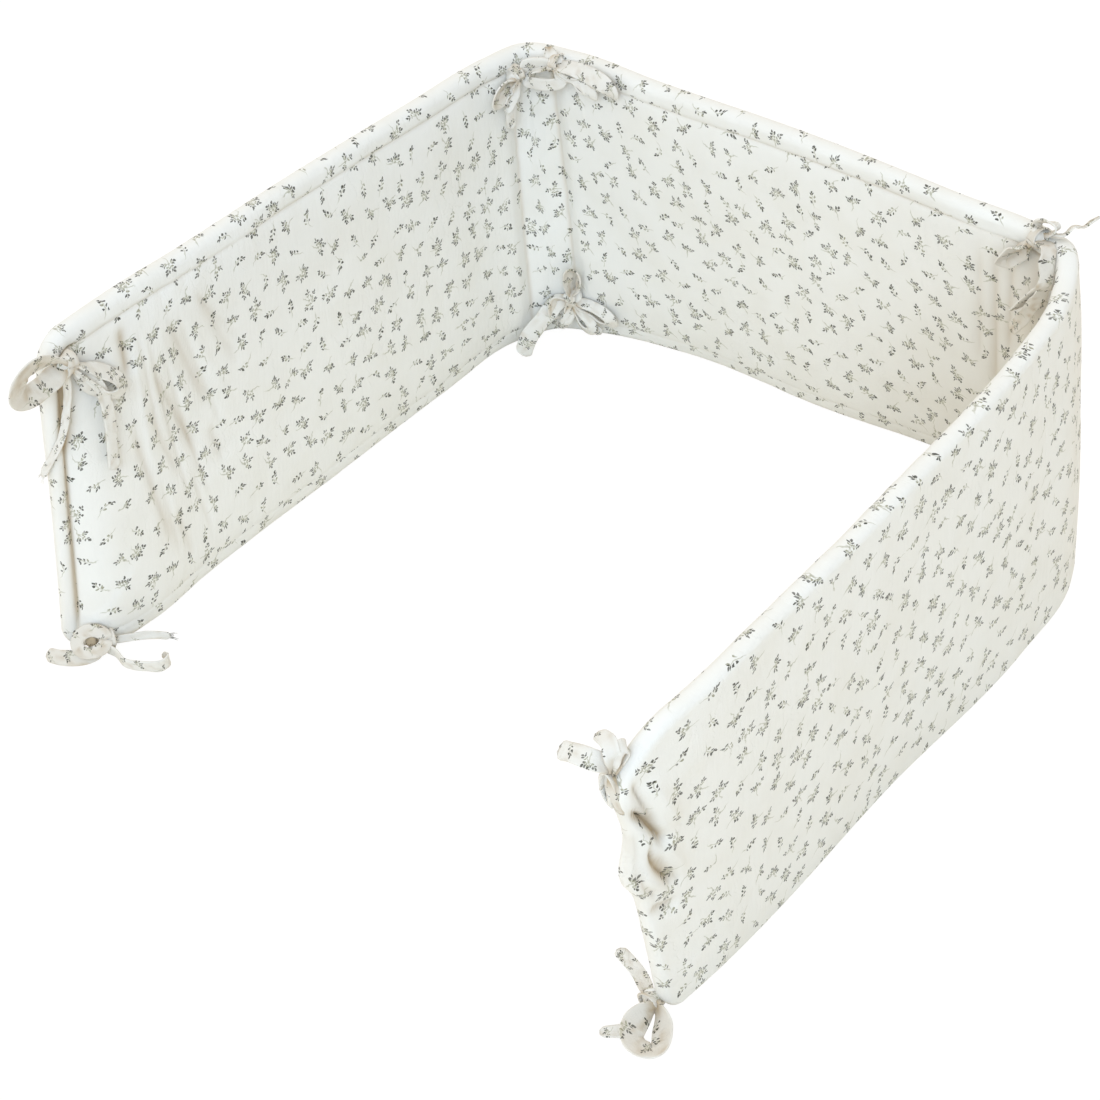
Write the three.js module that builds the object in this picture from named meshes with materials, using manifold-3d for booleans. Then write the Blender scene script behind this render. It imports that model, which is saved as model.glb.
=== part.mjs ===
// Crib bumper: a long padded strip that stands on its lower edge in a U round the head of a cot.
//
// The strip is one stuffed cushion. Its outer cover is turned over every edge and sewn down on the inner
// face, which leaves a soft roll all round the inner face. Two sewn channels at each corner leave a narrow
// panel that folds round the cot's corner. Fabric straps are sewn in at both ends and at both corners, top
// and bottom, and each pair is tied.
//
// Units are millimetres and +Z is up. The origin is the middle of the footprint on the floor, and the open
// side of the U faces -Y.

import * as THREE from 'three';
import { mergeVertices } from 'three/addons/utils/BufferGeometryUtils.js';
import Module from 'manifold-3d';

// ----------------------------------------------------------------------------------------------------
// Driving dimensions
// ----------------------------------------------------------------------------------------------------

const STRIP_LENGTH = 1800; // along the strip, round the U
const STRIP_HEIGHT = 296; // standing height, rolls included
const FOOTPRINT_CENTRE = { x: 6.2, y: -282.4 }; // middle of the footprint, in the coordinates of COURSE

const ROLL_RADIUS = 8.5; // soft roll along every edge
const ROLL_CENTRE = -1; // the roll's middle, inward from the strip's middle surface
const ROLL_FLAT = 3.5; // half width of the flat along the rim, where the strip rests
const CORNER_RADIUS = { leftHead: 30, rightHead: 50, foot: 17 }; // rounding of the strip's four corners
const HEAD_LIFT = { along: 1185, rise: 9, width: 32 }; // where a tie draws the top edge up

const SEAM_DISTANCE = 16.5; // from the rim to the seam that holds the roll
const SEAM_INWARD = 2; // inner face at that seam, from the middle surface
const INNER_CROWN = 10; // how far the inner face stands out beyond the seam
const INNER_RISE = 20; // distance over which it comes up to its crown
const OUTER_CROWN = 2.5; // how far the outer face swells beyond the roll
const OUTER_RISE = 45;

const CHANNELS = [565, 620, 1165, 1226]; // sewn channels across the strip, from its left end
const CHANNEL_INNER_DEPTH = 6.5;
const CHANNEL_OUTER_DEPTH = 1.5;
const CHANNEL_WIDTH = 9;

const STRAP_WIDTH = 11;
const STRAP_THICKNESS = 2;
const STRAP_STEP = 8; // length of one facet along a strap
const LOOP_MIDDLE = 0.55; // share of a loop's reach where the middle of its opening lies
const SEAT_GAP = 0.35; // between a tied strap and the strip that carries it

// Where the middle surface of the strip stands, in plan: its top edge (head) and its bottom edge (foot).
// The back wall runs along X near y = 0, the left end is at -X and the right end at +X.
const COURSE = [
	{ along: 0, headX: -304, headY: -541, footX: -333, footY: -580 },
	{ along: 36, headX: -306, headY: -509, footX: -303, footY: -560 },
	{ along: 88, headX: -308, headY: -456, footX: -293, footY: -515 },
	{ along: 150, headX: -306, headY: -400, footX: -299, footY: -455 },
	{ along: 296, headX: -306, headY: -272, footX: -303, footY: -305 },
	{ along: 452, headX: -301, headY: -132, footX: -307, footY: -150 },
	{ along: 543, headX: -297, headY: -48, footX: -306, footY: -61 },
	{ along: 589, headX: -286, headY: -13, footX: -287, footY: -20 },
	{ along: 637, headX: -244, headY: -2, footX: -248, footY: 0 },
	{ along: 738, headX: -150, headY: -1, footX: -154, footY: 23 },
	{ along: 896, headX: 0, headY: 4, footX: -5, footY: 30 },
	{ along: 1049, headX: 150, headY: 0, footX: 135, footY: 42 },
	{ along: 1139, headX: 239, headY: -4, footX: 214, footY: 30 },
	{ along: 1193, headX: 272, headY: -26, footX: 263, footY: -6 },
	{ along: 1242, headX: 291, headY: -62, footX: 290, footY: -51 },
	{ along: 1319, headX: 306, headY: -125, footX: 302, footY: -130 },
	{ along: 1510, headX: 325, headY: -305, footX: 306, footY: -310 },
	{ along: 1663, headX: 334, headY: -450, footX: 315, footY: -455 },
	{ along: 1745, headX: 338, headY: -540, footX: 316, footY: -520 },
	{ along: 1800, headX: 333, headY: -609, footX: 314, footY: -568 },
];

// Soft folds and pulls in the cover. Each runs straight from one place to another on the strip. A positive
// depth presses into the pad, and a negative one stands out of it. The face is 1 for the inner one, -1 for
// the outer one, and 0 where the whole pad bends.
const FOLDS = [
	{ fromAlong: 78, fromUp: 276, toAlong: 82, toUp: 225, depth: 6, width: 6, face: 1 },
	{ fromAlong: 64, fromUp: 262, toAlong: 66, toUp: 205, depth: -2.5, width: 8, face: 1 },
	{ fromAlong: 77, fromUp: 198, toAlong: 116, toUp: 46, depth: 3.5, width: 6, face: 1 },
	{ fromAlong: 95, fromUp: 200, toAlong: 132, toUp: 104, depth: 2.5, width: 5, face: 1 },
	{ fromAlong: 106, fromUp: 225, toAlong: 158, toUp: 110, depth: 3.5, width: 6, face: 1 },
	{ fromAlong: 124, fromUp: 264, toAlong: 173, toUp: 148, depth: 3.5, width: 6, face: 1 },
	{ fromAlong: 160, fromUp: 268, toAlong: 208, toUp: 170, depth: 2.5, width: 7, face: 1 },
	{ fromAlong: 168, fromUp: 140, toAlong: 182, toUp: 94, depth: 2.5, width: 6, face: 1 },
	{ fromAlong: 118, fromUp: 92, toAlong: 136, toUp: 28, depth: 2.5, width: 6, face: 1 },
	{ fromAlong: 30, fromUp: 250, toAlong: 26, toUp: 190, depth: 4, width: 6, face: 1 },
	{ fromAlong: 120, fromUp: 250, toAlong: 190, toUp: 60, depth: 4, width: 40, face: 0 },
	{ fromAlong: 1080, fromUp: 278, toAlong: 1076, toUp: 120, depth: 2, width: 6, face: 1 },
	{ fromAlong: 1094, fromUp: 278, toAlong: 1092, toUp: 90, depth: 3, width: 5, face: 1 },
	{ fromAlong: 1110, fromUp: 276, toAlong: 1108, toUp: 150, depth: 2.5, width: 5, face: 1 },
	{ fromAlong: 1792, fromUp: 250, toAlong: 1776, toUp: 176, depth: 7, width: 6, face: -1 },
	{ fromAlong: 1786, fromUp: 184, toAlong: 1766, toUp: 96, depth: 6.5, width: 9, face: -1 },
	{ fromAlong: 1776, fromUp: 236, toAlong: 1752, toUp: 176, depth: -3, width: 10, face: -1 },
	{ fromAlong: 1796, fromUp: 200, toAlong: 1790, toUp: 100, depth: -4, width: 7, face: -1 },
];

const FOLD_FADE = 0.25; // share of a fold's length over which it fades at each end

const CLOTH = { color: 0xebebe3, roughness: 0.92, metalness: 0 };

// ----------------------------------------------------------------------------------------------------
// The strip's middle surface and faces
// ----------------------------------------------------------------------------------------------------

// One column of COURSE at a distance along the strip, on a smooth curve through its rows.
function courseAt(key, along) {
	const last = COURSE.length - 2;
	let row = COURSE.findIndex((next, i) => i > 0 && along < next.along) - 1;
	if (row < 0) row = along < COURSE[1].along ? 0 : last;
	const slopeOf = (i) => (COURSE[i + 1][key] - COURSE[i][key]) / (COURSE[i + 1].along - COURSE[i].along);
	const tangentAt = (i) => {
		if (i === 0) return slopeOf(0);
		if (i === COURSE.length - 1) return slopeOf(last);
		const before = COURSE[i].along - COURSE[i - 1].along;
		const after = COURSE[i + 1].along - COURSE[i].along;
		return (slopeOf(i - 1) * after + slopeOf(i) * before) / (before + after);
	};
	const from = COURSE[row];
	const to = COURSE[row + 1];
	const span = to.along - from.along;
	const t = (along - from.along) / span;
	if (t < 0) return from[key] + tangentAt(row) * span * t;
	if (t > 1) return to[key] + tangentAt(row + 1) * span * (t - 1);
	const t2 = t * t;
	const t3 = t2 * t;
	return (
		(2 * t3 - 3 * t2 + 1) * from[key] +
		(t3 - 2 * t2 + t) * span * tangentAt(row) +
		(3 * t2 - 2 * t3) * to[key] +
		(t3 - t2) * span * tangentAt(row + 1)
	);
}

// A point of the middle surface, at a distance along the strip and a height.
function middlePoint(along, up) {
	const share = up / STRIP_HEIGHT;
	const x = THREE.MathUtils.lerp(courseAt('footX', along), courseAt('headX', along), share);
	const y = THREE.MathUtils.lerp(courseAt('footY', along), courseAt('headY', along), share);
	const lift = HEAD_LIFT.rise * Math.exp(-(((along - HEAD_LIFT.along) / HEAD_LIFT.width) ** 2)) * share ** 2;
	return new THREE.Vector3(x - FOOTPRINT_CENTRE.x, y - FOOTPRINT_CENTRE.y, up + lift);
}

// Level unit vectors at a distance along the strip: onward, and inward to the middle of the cot.
function wallDirections(along, up) {
	const probe = 3;
	const onward = middlePoint(along + probe, up).sub(middlePoint(along - probe, up)).setZ(0).normalize();
	const inward = new THREE.Vector3(onward.y, -onward.x, 0);
	return { onward, inward };
}

const headRadius = (along) => (along < STRIP_LENGTH / 2 ? CORNER_RADIUS.leftHead : CORNER_RADIUS.rightHead);

// How far a rounded corner draws the top or bottom edge in, at a distance from the strip's end.
function drawnIn(radius, side) {
	const reach = Math.max(radius - side, 0);
	return radius - Math.sqrt(radius ** 2 - reach ** 2);
}

// Distance from a place on the strip to its rim, which has rounded corners.
function distanceToRim(along, up) {
	const side = Math.min(along, STRIP_LENGTH - along);
	const edge = Math.min(up, STRIP_HEIGHT - up);
	const r = up < STRIP_HEIGHT / 2 ? CORNER_RADIUS.foot : headRadius(along);
	if (side < r && edge < r) return r - Math.hypot(r - side, r - edge);
	return Math.min(side, edge);
}

// 1 in the middle of a fold and 0 away from it, fading towards both of its ends.
function foldShare(fold, along, up) {
	const runAlong = fold.toAlong - fold.fromAlong;
	const runUp = fold.toUp - fold.fromUp;
	const lengthSquared = runAlong * runAlong + runUp * runUp;
	const t = ((along - fold.fromAlong) * runAlong + (up - fold.fromUp) * runUp) / lengthSquared;
	if (t <= 0 || t >= 1) return 0;
	const across = ((along - fold.fromAlong) * runUp - (up - fold.fromUp) * runAlong) / Math.sqrt(lengthSquared);
	return Math.exp(-((across / fold.width) ** 2)) * Math.min(1, t / FOLD_FADE, (1 - t) / FOLD_FADE);
}

function foldDepth(along, up, face) {
	const folds = FOLDS.filter((fold) => fold.face === face);
	return folds.reduce((sum, fold) => sum + fold.depth * foldShare(fold, along, up), 0);
}

const channelShare = (along) =>
	CHANNELS.reduce((sum, channel) => Math.max(sum, Math.exp(-(((along - channel) / CHANNEL_WIDTH) ** 2))), 0);

// Half thickness of the roll at a distance from the rim.
function rollHalf(distance) {
	const fromMiddle = Math.min(Math.abs(ROLL_RADIUS - distance), ROLL_RADIUS);
	return Math.max(ROLL_FLAT, Math.sqrt(ROLL_RADIUS ** 2 - fromMiddle ** 2));
}

// How far the inner face lies inward of the middle surface.
function innerOffset(along, up) {
	const distance = distanceToRim(along, up);
	if (distance < SEAM_DISTANCE) return Math.max(SEAM_INWARD, ROLL_CENTRE + rollHalf(distance));
	const rise = 1 - Math.exp(-(distance - SEAM_DISTANCE) / INNER_RISE);
	const crown = INNER_CROWN * rise - CHANNEL_INNER_DEPTH * channelShare(along) * rise;
	return SEAM_INWARD + crown - foldDepth(along, up, 1) * rise;
}

// How far the outer face lies inward of the middle surface: a negative distance.
function outerOffset(along, up) {
	const distance = distanceToRim(along, up);
	if (distance < ROLL_RADIUS) return ROLL_CENTRE - rollHalf(distance);
	const rise = 1 - Math.exp(-(distance - ROLL_RADIUS) / OUTER_RISE);
	const swell = OUTER_CROWN * rise - CHANNEL_OUTER_DEPTH * channelShare(along) * rise;
	return ROLL_CENTRE - ROLL_RADIUS - swell + foldDepth(along, up, -1);
}

// A point of the strip's surface. The face is 1 for the inner one and -1 for the outer one.
function facePoint(along, up, face, swell) {
	const offset = face > 0 ? innerOffset(along, up) + swell : outerOffset(along, up) - swell;
	const { inward } = wallDirections(along, up);
	const bend = foldDepth(along, up, 0) * Math.min(1, distanceToRim(along, up) / OUTER_RISE);
	return middlePoint(along, up).addScaledVector(inward, offset - bend);
}

// ----------------------------------------------------------------------------------------------------
// The padded strip
// ----------------------------------------------------------------------------------------------------

const RIM_DISTANCES = [0, 3, 8.5, 13.5, 16.5, 22, 36]; // rows and columns that follow the roll and its seam
const HEIGHT_DISTANCES = [...RIM_DISTANCES, 60, 88, 118, STRIP_HEIGHT / 2];
const FINE_STRETCHES = [
	{ from: 50, to: 230, step: 9 },
	{ from: 545, to: 640, step: 8 },
	{ from: 1064, to: 1124, step: 8 },
	{ from: 1145, to: 1246, step: 8 },
	{ from: 1736, to: 1764, step: 9 },
];
const PLAIN_STEP = 31;

// Heights of the grid's rows, from the bottom edge to the top one.
function gridRows() {
	const lower = HEIGHT_DISTANCES;
	const upper = [...HEIGHT_DISTANCES].reverse().slice(1).map((distance) => STRIP_HEIGHT - distance);
	return [...lower, ...upper];
}

// Places of the grid's columns along the strip: fine where it is folded or sewn, and plain between.
function gridColumns() {
	const places = [...RIM_DISTANCES, ...RIM_DISTANCES.map((distance) => STRIP_LENGTH - distance), ...CHANNELS];
	let plainFrom = RIM_DISTANCES.at(-1);
	const plainEnd = { from: STRIP_LENGTH - plainFrom, to: STRIP_LENGTH - plainFrom, step: 1 };
	for (const { from, to, step } of [...FINE_STRETCHES, plainEnd]) {
		const plainCount = Math.ceil((from - plainFrom) / PLAIN_STEP);
		for (let i = 1; i <= plainCount; i++) places.push(plainFrom + ((from - plainFrom) * i) / plainCount);
		for (let place = from + step; place <= to; place += step) places.push(place);
		plainFrom = to;
	}
	const closest = 2.4;
	const isKept = (place, i, sorted) => {
		const isFixed = CHANNELS.includes(place) || Math.min(place, STRIP_LENGTH - place) <= RIM_DISTANCES.at(-1);
		const nearFixed = CHANNELS.some((channel) => Math.abs(channel - place) < closest);
		return isFixed ? place !== sorted[i - 1] : !nearFixed && place - sorted[i - 1] >= closest;
	};
	return places.sort((a, b) => a - b).filter(isKept);
}

// How far the roll's surface leans towards the rim, at a distance from it: 1 at the rim, below 0 at the seam.
const rollLean = (distance) => (distance < SEAM_DISTANCE ? 1 - distance / ROLL_RADIUS : 0);

// The strip's closed surface. A swell above zero gives a slightly thicker one.
function stripGeometry(swell = 0) {
	const columns = gridColumns();
	const rows = gridRows();
	const positions = [];
	const indices = [];
	for (const face of [1, -1]) {
		for (const along of columns) {
			const side = Math.min(along, STRIP_LENGTH - along);
			const lowest = drawnIn(CORNER_RADIUS.foot, side);
			const highest = STRIP_HEIGHT - drawnIn(headRadius(along), side);
			const { onward } = wallDirections(along, STRIP_HEIGHT / 2);
			for (const row of rows) {
				const share = row / STRIP_HEIGHT;
				const up = THREE.MathUtils.lerp(lowest, highest, share);
				const point = facePoint(along, up, face, swell);
				point.addScaledVector(onward, Math.sign(along - STRIP_LENGTH / 2) * swell * rollLean(side));
				point.z += Math.sign(share - 0.5) * swell * rollLean(Math.min(row, STRIP_HEIGHT - row));
				positions.push(point.x, point.y, point.z);
			}
		}
	}
	const faceSize = columns.length * rows.length;
	const vertex = (face, column, row) => (face > 0 ? 0 : faceSize) + column * rows.length + row;
	const quad = (a, b, c, d) => indices.push(a, b, c, a, c, d);
	const lastColumn = columns.length - 1;
	const lastRow = rows.length - 1;
	for (let i = 0; i < lastColumn; i++) {
		for (let j = 0; j < lastRow; j++) {
			quad(vertex(1, i, j), vertex(1, i + 1, j), vertex(1, i + 1, j + 1), vertex(1, i, j + 1));
			quad(vertex(-1, i, j), vertex(-1, i, j + 1), vertex(-1, i + 1, j + 1), vertex(-1, i + 1, j));
		}
		quad(vertex(-1, i, 0), vertex(-1, i + 1, 0), vertex(1, i + 1, 0), vertex(1, i, 0));
		quad(vertex(1, i, lastRow), vertex(1, i + 1, lastRow), vertex(-1, i + 1, lastRow), vertex(-1, i, lastRow));
	}
	for (let j = 0; j < lastRow; j++) {
		quad(vertex(-1, 0, j), vertex(1, 0, j), vertex(1, 0, j + 1), vertex(-1, 0, j + 1));
		quad(
			vertex(1, lastColumn, j),
			vertex(-1, lastColumn, j),
			vertex(-1, lastColumn, j + 1),
			vertex(1, lastColumn, j + 1)
		);
	}
	const geometry = new THREE.BufferGeometry();
	geometry.setAttribute('position', new THREE.Float32BufferAttribute(positions, 3));
	geometry.setIndex(indices);
	return geometry;
}

// ----------------------------------------------------------------------------------------------------
// The ties
// ----------------------------------------------------------------------------------------------------

// A place or a direction near a tie, measured along the strip, inward from its middle surface, and up.
const to = (onward, inward, up) => new THREE.Vector3(onward, inward, up);

// Each tied pair of straps, from the place on the strip where it is sewn in. A loop starts at its knot,
// reaches out and comes back, as broad as its across says. Its cone is 0 where the strap stands on edge round
// the loop and 1 where it lies flat. A tail runs through its bends, and its width points to its side.
const TIES = [
	{
		name: 'tie_left_end_top',
		along: 12,
		up: 278,
		knots: [{ at: to(6, 15, -3), size: to(8, 7, 8) }],
		loops: [
			{ from: to(5, 15, -2), reach: to(-62, 3, 12), across: to(3, 1, 27), cone: 0.65 },
			{ from: to(8, 16, -3), reach: to(36, 9, -36), across: to(12, 1, 8), cone: 0.6 },
		],
		tails: [
			{ bends: [to(8, 17, -4), to(28, 22, -26), to(38, 21, -53), to(42, 18, -112)], side: to(1, 0, 0.3) },
			{
				bends: [
					to(4, 15, -6),
					to(-7, 13, -12),
					to(-17, 4, -22),
					to(-16, -9, -38),
					to(-7, -15, -60),
					to(-5, -15, -88),
					to(-14, -15, -121),
				],
				side: to(1, 0, 1),
			},
		],
	},
	{
		name: 'tie_left_end_base',
		along: 18,
		up: 10,
		knots: [{ at: to(15, 10, 1), size: to(7, 7, 7) }],
		loops: [{ from: to(14, 11, 1), reach: to(-15, 4, 7), across: to(1, -13, 12), cone: 1 }],
		tails: [
			{ bends: [to(14, 12, -1), to(7, 25, -4), to(-8, 31, -5), to(-23, 31, -6)], side: to(0, 1, 0.2) },
			{ bends: [to(16, 11, 1), to(30, 14, -2), to(46, 19, -4), to(64, 36, -6)], side: to(0, 1, 0.3) },
			{
				bends: [
					to(16, 13, 0),
					to(24, 26, -2),
					to(27, 41, -3),
					to(34, 54, -3),
					to(40, 62, -3),
					to(45, 60, -3),
					to(44, 52, -3),
				],
				side: to(0, 0, 1),
			},
		],
	},

	{
		name: 'tie_left_corner_top',
		along: 597,
		up: 262,
		knots: [{ at: to(-33, 11, 16), size: to(7, 9, 7) }, { at: to(33, 12, 30), size: to(7, 8, 6) }],
		loops: [
			{ from: to(-34, 16, 16), reach: to(-34, 4, 0), across: to(0, 1, 13), cone: 0.8 },
			{ from: to(33, 16, 28), reach: to(-22, 5, -18), across: to(48, 2, 2), cone: 0.8 },
			{ from: to(33, 15, 30), reach: to(74, 3, -5), across: to(0, 1, 12), cone: 0.8 },
		],
		tails: [
			{ bends: [to(-34, 16, 14), to(-45, 18, 3), to(-50, 18, -14)], side: to(1, 0.2, 0) },
			{ bends: [to(-32, 16, 18), to(-4, 18, 25), to(31, 16, 30)], side: to(0, 0.2, 1) },
			{ bends: [to(20, 3.5, 37), to(26, 9, 35), to(30, 13, 32), to(33, 16, 28)], side: to(1, 0, 0) },
		],
	},

	{
		name: 'tie_left_corner_base',
		along: 597,
		up: 14,
		knots: [{ at: to(22, 13, 31), size: to(9, 10, 8) }],
		loops: [
			{ from: to(22, 17, 32), reach: to(8, 3, 34), across: to(12, 0, -2), cone: 0.6 },
			{ from: to(23, 17, 31), reach: to(42, 3, -18), across: to(4, 1, 12), cone: 0.7 },
			{ from: to(20, 17, 29), reach: to(-30, 4, -4), across: to(0, 1, 18), cone: 0.8 },
		],
		tails: [
			{ bends: [to(20, 17, 31), to(-4, 20, 30), to(-26, 19, 29), to(-45, 18, 28)], side: to(0, 0.2, 1) },
			{ bends: [to(23, 18, 29), to(31, 20, 16), to(40, 20, 6), to(51, 19, -2)], side: to(0.8, 0, 0.6) },
		],
	},
	{
		name: 'tie_right_corner_top',
		along: 1150,
		up: 276,
		knots: [{ at: to(-8, 7, 20), size: to(8, 7, 7) }],
		loops: [
			{ from: to(-6, 6, 22), reach: to(5, -4, 20), across: to(20, -2, 6), cone: 0.5 },
			{ from: to(-9, 11, 17), reach: to(-32, 7, -24), across: to(12, 2, 18), cone: 0.8 },
		],
		tails: [
			{
				bends: [to(-5, 6, 22), to(7, 1, 26), to(16, -5, 28), to(20, -17, 31), to(21, -29, 34)],
				side: to(1, 0, 0.4),
			},
			{
				bends: [
					to(-6, 9, 19),
					to(14, 10, 19),
					to(34, 11, 19),
					to(48, 10, 13),
					to(55, 14, 0),
					to(37, 22, -17),
					to(12, 27, -32),
					to(-6, 28, -43),
				],
				side: to(0.3, 1, 0.3),
			},
			{ bends: [to(54, 13, 2), to(42, 20, -20), to(16, 27, -45), to(-10, 29, -66)], side: to(0.5, 0, 1) },
		],
	},

	{
		name: 'tie_right_corner_base',
		along: 1205,
		up: 14,
		knots: [{ at: to(0, 11, 4), size: to(8, 10, 7) }],
		loops: [{ from: to(0, 17, 5), reach: to(-36, 4, 4), across: to(0, 2, 16), cone: 0.7 }],
		tails: [
			{ bends: [to(2, 17, 3), to(16, 18, -4), to(34, 18, -8), to(54, 18, -9)], side: to(0, 1, 0.2) },
			{ bends: [to(0, 18, 2), to(-8, 25, -5), to(-22, 32, -9), to(-38, 36, -10)], side: to(0.6, 1, 0) },
		],
	},
	{
		name: 'tie_right_end_top',
		along: 1792,
		up: 262,
		knots: [{ at: to(4, 3, 11), size: to(7, 7, 7) }],
		loops: [{ from: to(3, 1, 12), reach: to(-12, -3, 27), across: to(10, 0, 5), cone: 0.4 }],
		tails: [
			{
				bends: [to(4, 4, 10), to(6, 7, 19), to(9, 15, 22), to(11, 26, 21), to(12, 38, 16)],
				side: to(0.7, -0.2, -0.5),
			},
			{ bends: [to(3, 2, 13), to(2, 1, 29), to(-1, 8, 33), to(-3, 21, 29)], side: to(0.7, 0.3, -0.3) },
		],
	},

	{
		name: 'tie_right_end_base',
		along: 1794,
		up: 14,
		knots: [{ at: to(9, 5, -4), size: to(8, 7, 8) }],
		loops: [{ from: to(9, 4, -6), reach: to(39, -12, -6), across: to(9, 26, 0), cone: 0.85 }],
		tails: [
			{ bends: [to(7, 8, -5), to(1, 18, -8), to(-6, 31, -10), to(-14, 58, -11)], side: to(1, 0.4, 0) },
			{ bends: [to(36, -4, -11), to(46, 8, -11.5), to(56, 17, -11.5)], side: to(1, -1, 0) },
		],
	},

];

const wasm = await Module();
wasm.setup();

// A closed mesh as a solid that can be joined and cut.
function solidOf(geometry) {
	const bare = geometry.clone();
	bare.deleteAttribute('normal');
	bare.deleteAttribute('uv');
	const merged = mergeVertices(bare, 1e-4);
	return new wasm.Manifold(
		new wasm.Mesh({
			numProp: 3,
			vertProperties: new Float32Array(merged.attributes.position.array),
			triVerts: new Uint32Array(merged.index.array),
		})
	);
}

function geometryOf(solid) {
	const mesh = solid.getMesh();
	const geometry = new THREE.BufferGeometry();
	geometry.setAttribute('position', new THREE.BufferAttribute(new Float32Array(mesh.vertProperties), 3));
	geometry.setIndex(Array.from(mesh.triVerts));
	return geometry;
}

// A strap along a curve: a flat section carried by a side direction for each of its points.
function strapGeometry(points, sides) {
	const positions = [];
	const indices = [];
	const last = points.length - 1;
	const corners = [[-1, -1], [1, -1], [1, 1], [-1, 1]];
	points.forEach((point, i) => {
		const tangent = points[Math.min(i + 1, last)].clone().sub(points[Math.max(i - 1, 0)]).normalize();
		const width = sides[i].clone().addScaledVector(tangent, -sides[i].dot(tangent)).normalize();
		const normal = new THREE.Vector3().crossVectors(tangent, width);
		for (const [across, out] of corners) {
			const corner = point.clone();
			corner.addScaledVector(width, (across * STRAP_WIDTH) / 2);
			corner.addScaledVector(normal, (out * STRAP_THICKNESS) / 2);
			positions.push(corner.x, corner.y, corner.z);
		}
	});
	for (let i = 0; i < last; i++) {
		for (let k = 0; k < 4; k++) {
			const a = 4 * i + k;
			const b = 4 * i + ((k + 1) % 4);
			indices.push(a, b, b + 4, a, b + 4, a + 4);
		}
	}
	indices.push(0, 2, 1, 0, 3, 2);
	indices.push(4 * last, 4 * last + 1, 4 * last + 2, 4 * last, 4 * last + 2, 4 * last + 3);
	const geometry = new THREE.BufferGeometry();
	geometry.setAttribute('position', new THREE.Float32BufferAttribute(positions, 3));
	geometry.setIndex(indices);
	return geometry;
}

const stepsFor = (length) => Math.max(4, Math.round(length / STRAP_STEP));

// The place on or near the strip that a step leads to from the root of its tie.
function placeAt(tie, step) {
	const along = tie.along + step.x;
	const up = tie.up + step.z;
	const { inward } = wallDirections(along, up);
	return middlePoint(along, up).addScaledVector(inward, step.y);
}

function directionAt(tie, step, heading) {
	const { onward, inward } = wallDirections(tie.along + step.x, tie.up + step.z);
	const level = onward.multiplyScalar(heading.x).addScaledVector(inward, heading.y);
	return level.setZ(heading.z);
}

// A strap that leaves its knot, turns round and comes back to it.
function loopGeometry(tie, { from, reach, across, cone }) {
	const axis = reach.clone().cross(across).normalize();
	const middle = from.clone().addScaledVector(reach, LOOP_MIDDLE);
	const count = stepsFor(2 * reach.length() + across.length());
	const points = [];
	const sides = [];
	for (let i = 0; i <= count; i++) {
		const turn = i / count;
		const out = Math.sin(Math.PI * turn);
		const step = from.clone().addScaledVector(reach, out);
		step.addScaledVector(across, Math.sin(2 * Math.PI * turn) / 2);
		const lean = ((cone * Math.PI) / 2) * Math.sqrt(out);
		const radial = step.clone().sub(middle).normalize();
		const side = axis.clone().multiplyScalar(Math.cos(lean)).addScaledVector(radial, Math.sin(lean));
		points.push(placeAt(tie, step));
		sides.push(directionAt(tie, step, side));
	}
	return strapGeometry(points, sides);
}

// A strap that runs from its knot to a free end.
function tailGeometry(tie, { bends, side }) {
	const curve = new THREE.CatmullRomCurve3(bends, false, 'centripetal');
	const steps = curve.getSpacedPoints(stepsFor(curve.getLength()));
	return strapGeometry(
		steps.map((step) => placeAt(tie, step)),
		steps.map((step) => directionAt(tie, step, side))
	);
}

function knotGeometry(tie, { at, size }) {
	const geometry = new THREE.SphereGeometry(1, 10, 7);
	const centre = placeAt(tie, at);
	const axes = new THREE.Matrix4().makeBasis(
		directionAt(tie, at, to(size.x, 0, 0)),
		directionAt(tie, at, to(0, 0, size.z)),
		directionAt(tie, at, to(0, size.y, 0))
	);
	return geometry.applyMatrix4(axes).translate(centre.x, centre.y, centre.z);
}

// One tied pair of straps as one solid, seated on the strip.
function tieGeometry(tie, seat) {
	const pieces = [
		...tie.knots.map((knot) => knotGeometry(tie, knot)),
		...tie.loops.map((loop) => loopGeometry(tie, loop)),
		...tie.tails.map((tail) => tailGeometry(tie, tail)),
	];
	const joined = pieces.map(solidOf).reduce((sum, piece) => sum.add(piece));
	const parts = joined.subtract(seat).decompose();
	parts.sort((a, b) => b.volume() - a.volume());
	return geometryOf(parts[0]);
}

// ----------------------------------------------------------------------------------------------------
// The bumper
// ----------------------------------------------------------------------------------------------------

const bumper = new THREE.Group();

function addPiece(name, geometry) {
	const piece = new THREE.Mesh(geometry, new THREE.MeshStandardMaterial(CLOTH));
	piece.name = name;
	bumper.add(piece);
}

addPiece('padded_strip', stripGeometry());
const seat = solidOf(stripGeometry(SEAT_GAP));
for (const tie of TIES) addPiece(tie.name, tieGeometry(tie, seat));

export default bumper;
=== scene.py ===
"""Crib bumper: one padded muslin strip that stands in a U, rolled at its edges and fitted with tied straps."""

from __future__ import annotations

import logging
import math
from dataclasses import dataclass, field
from enum import Enum

import bpy
import numpy as np
from mathutils import Matrix


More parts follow.
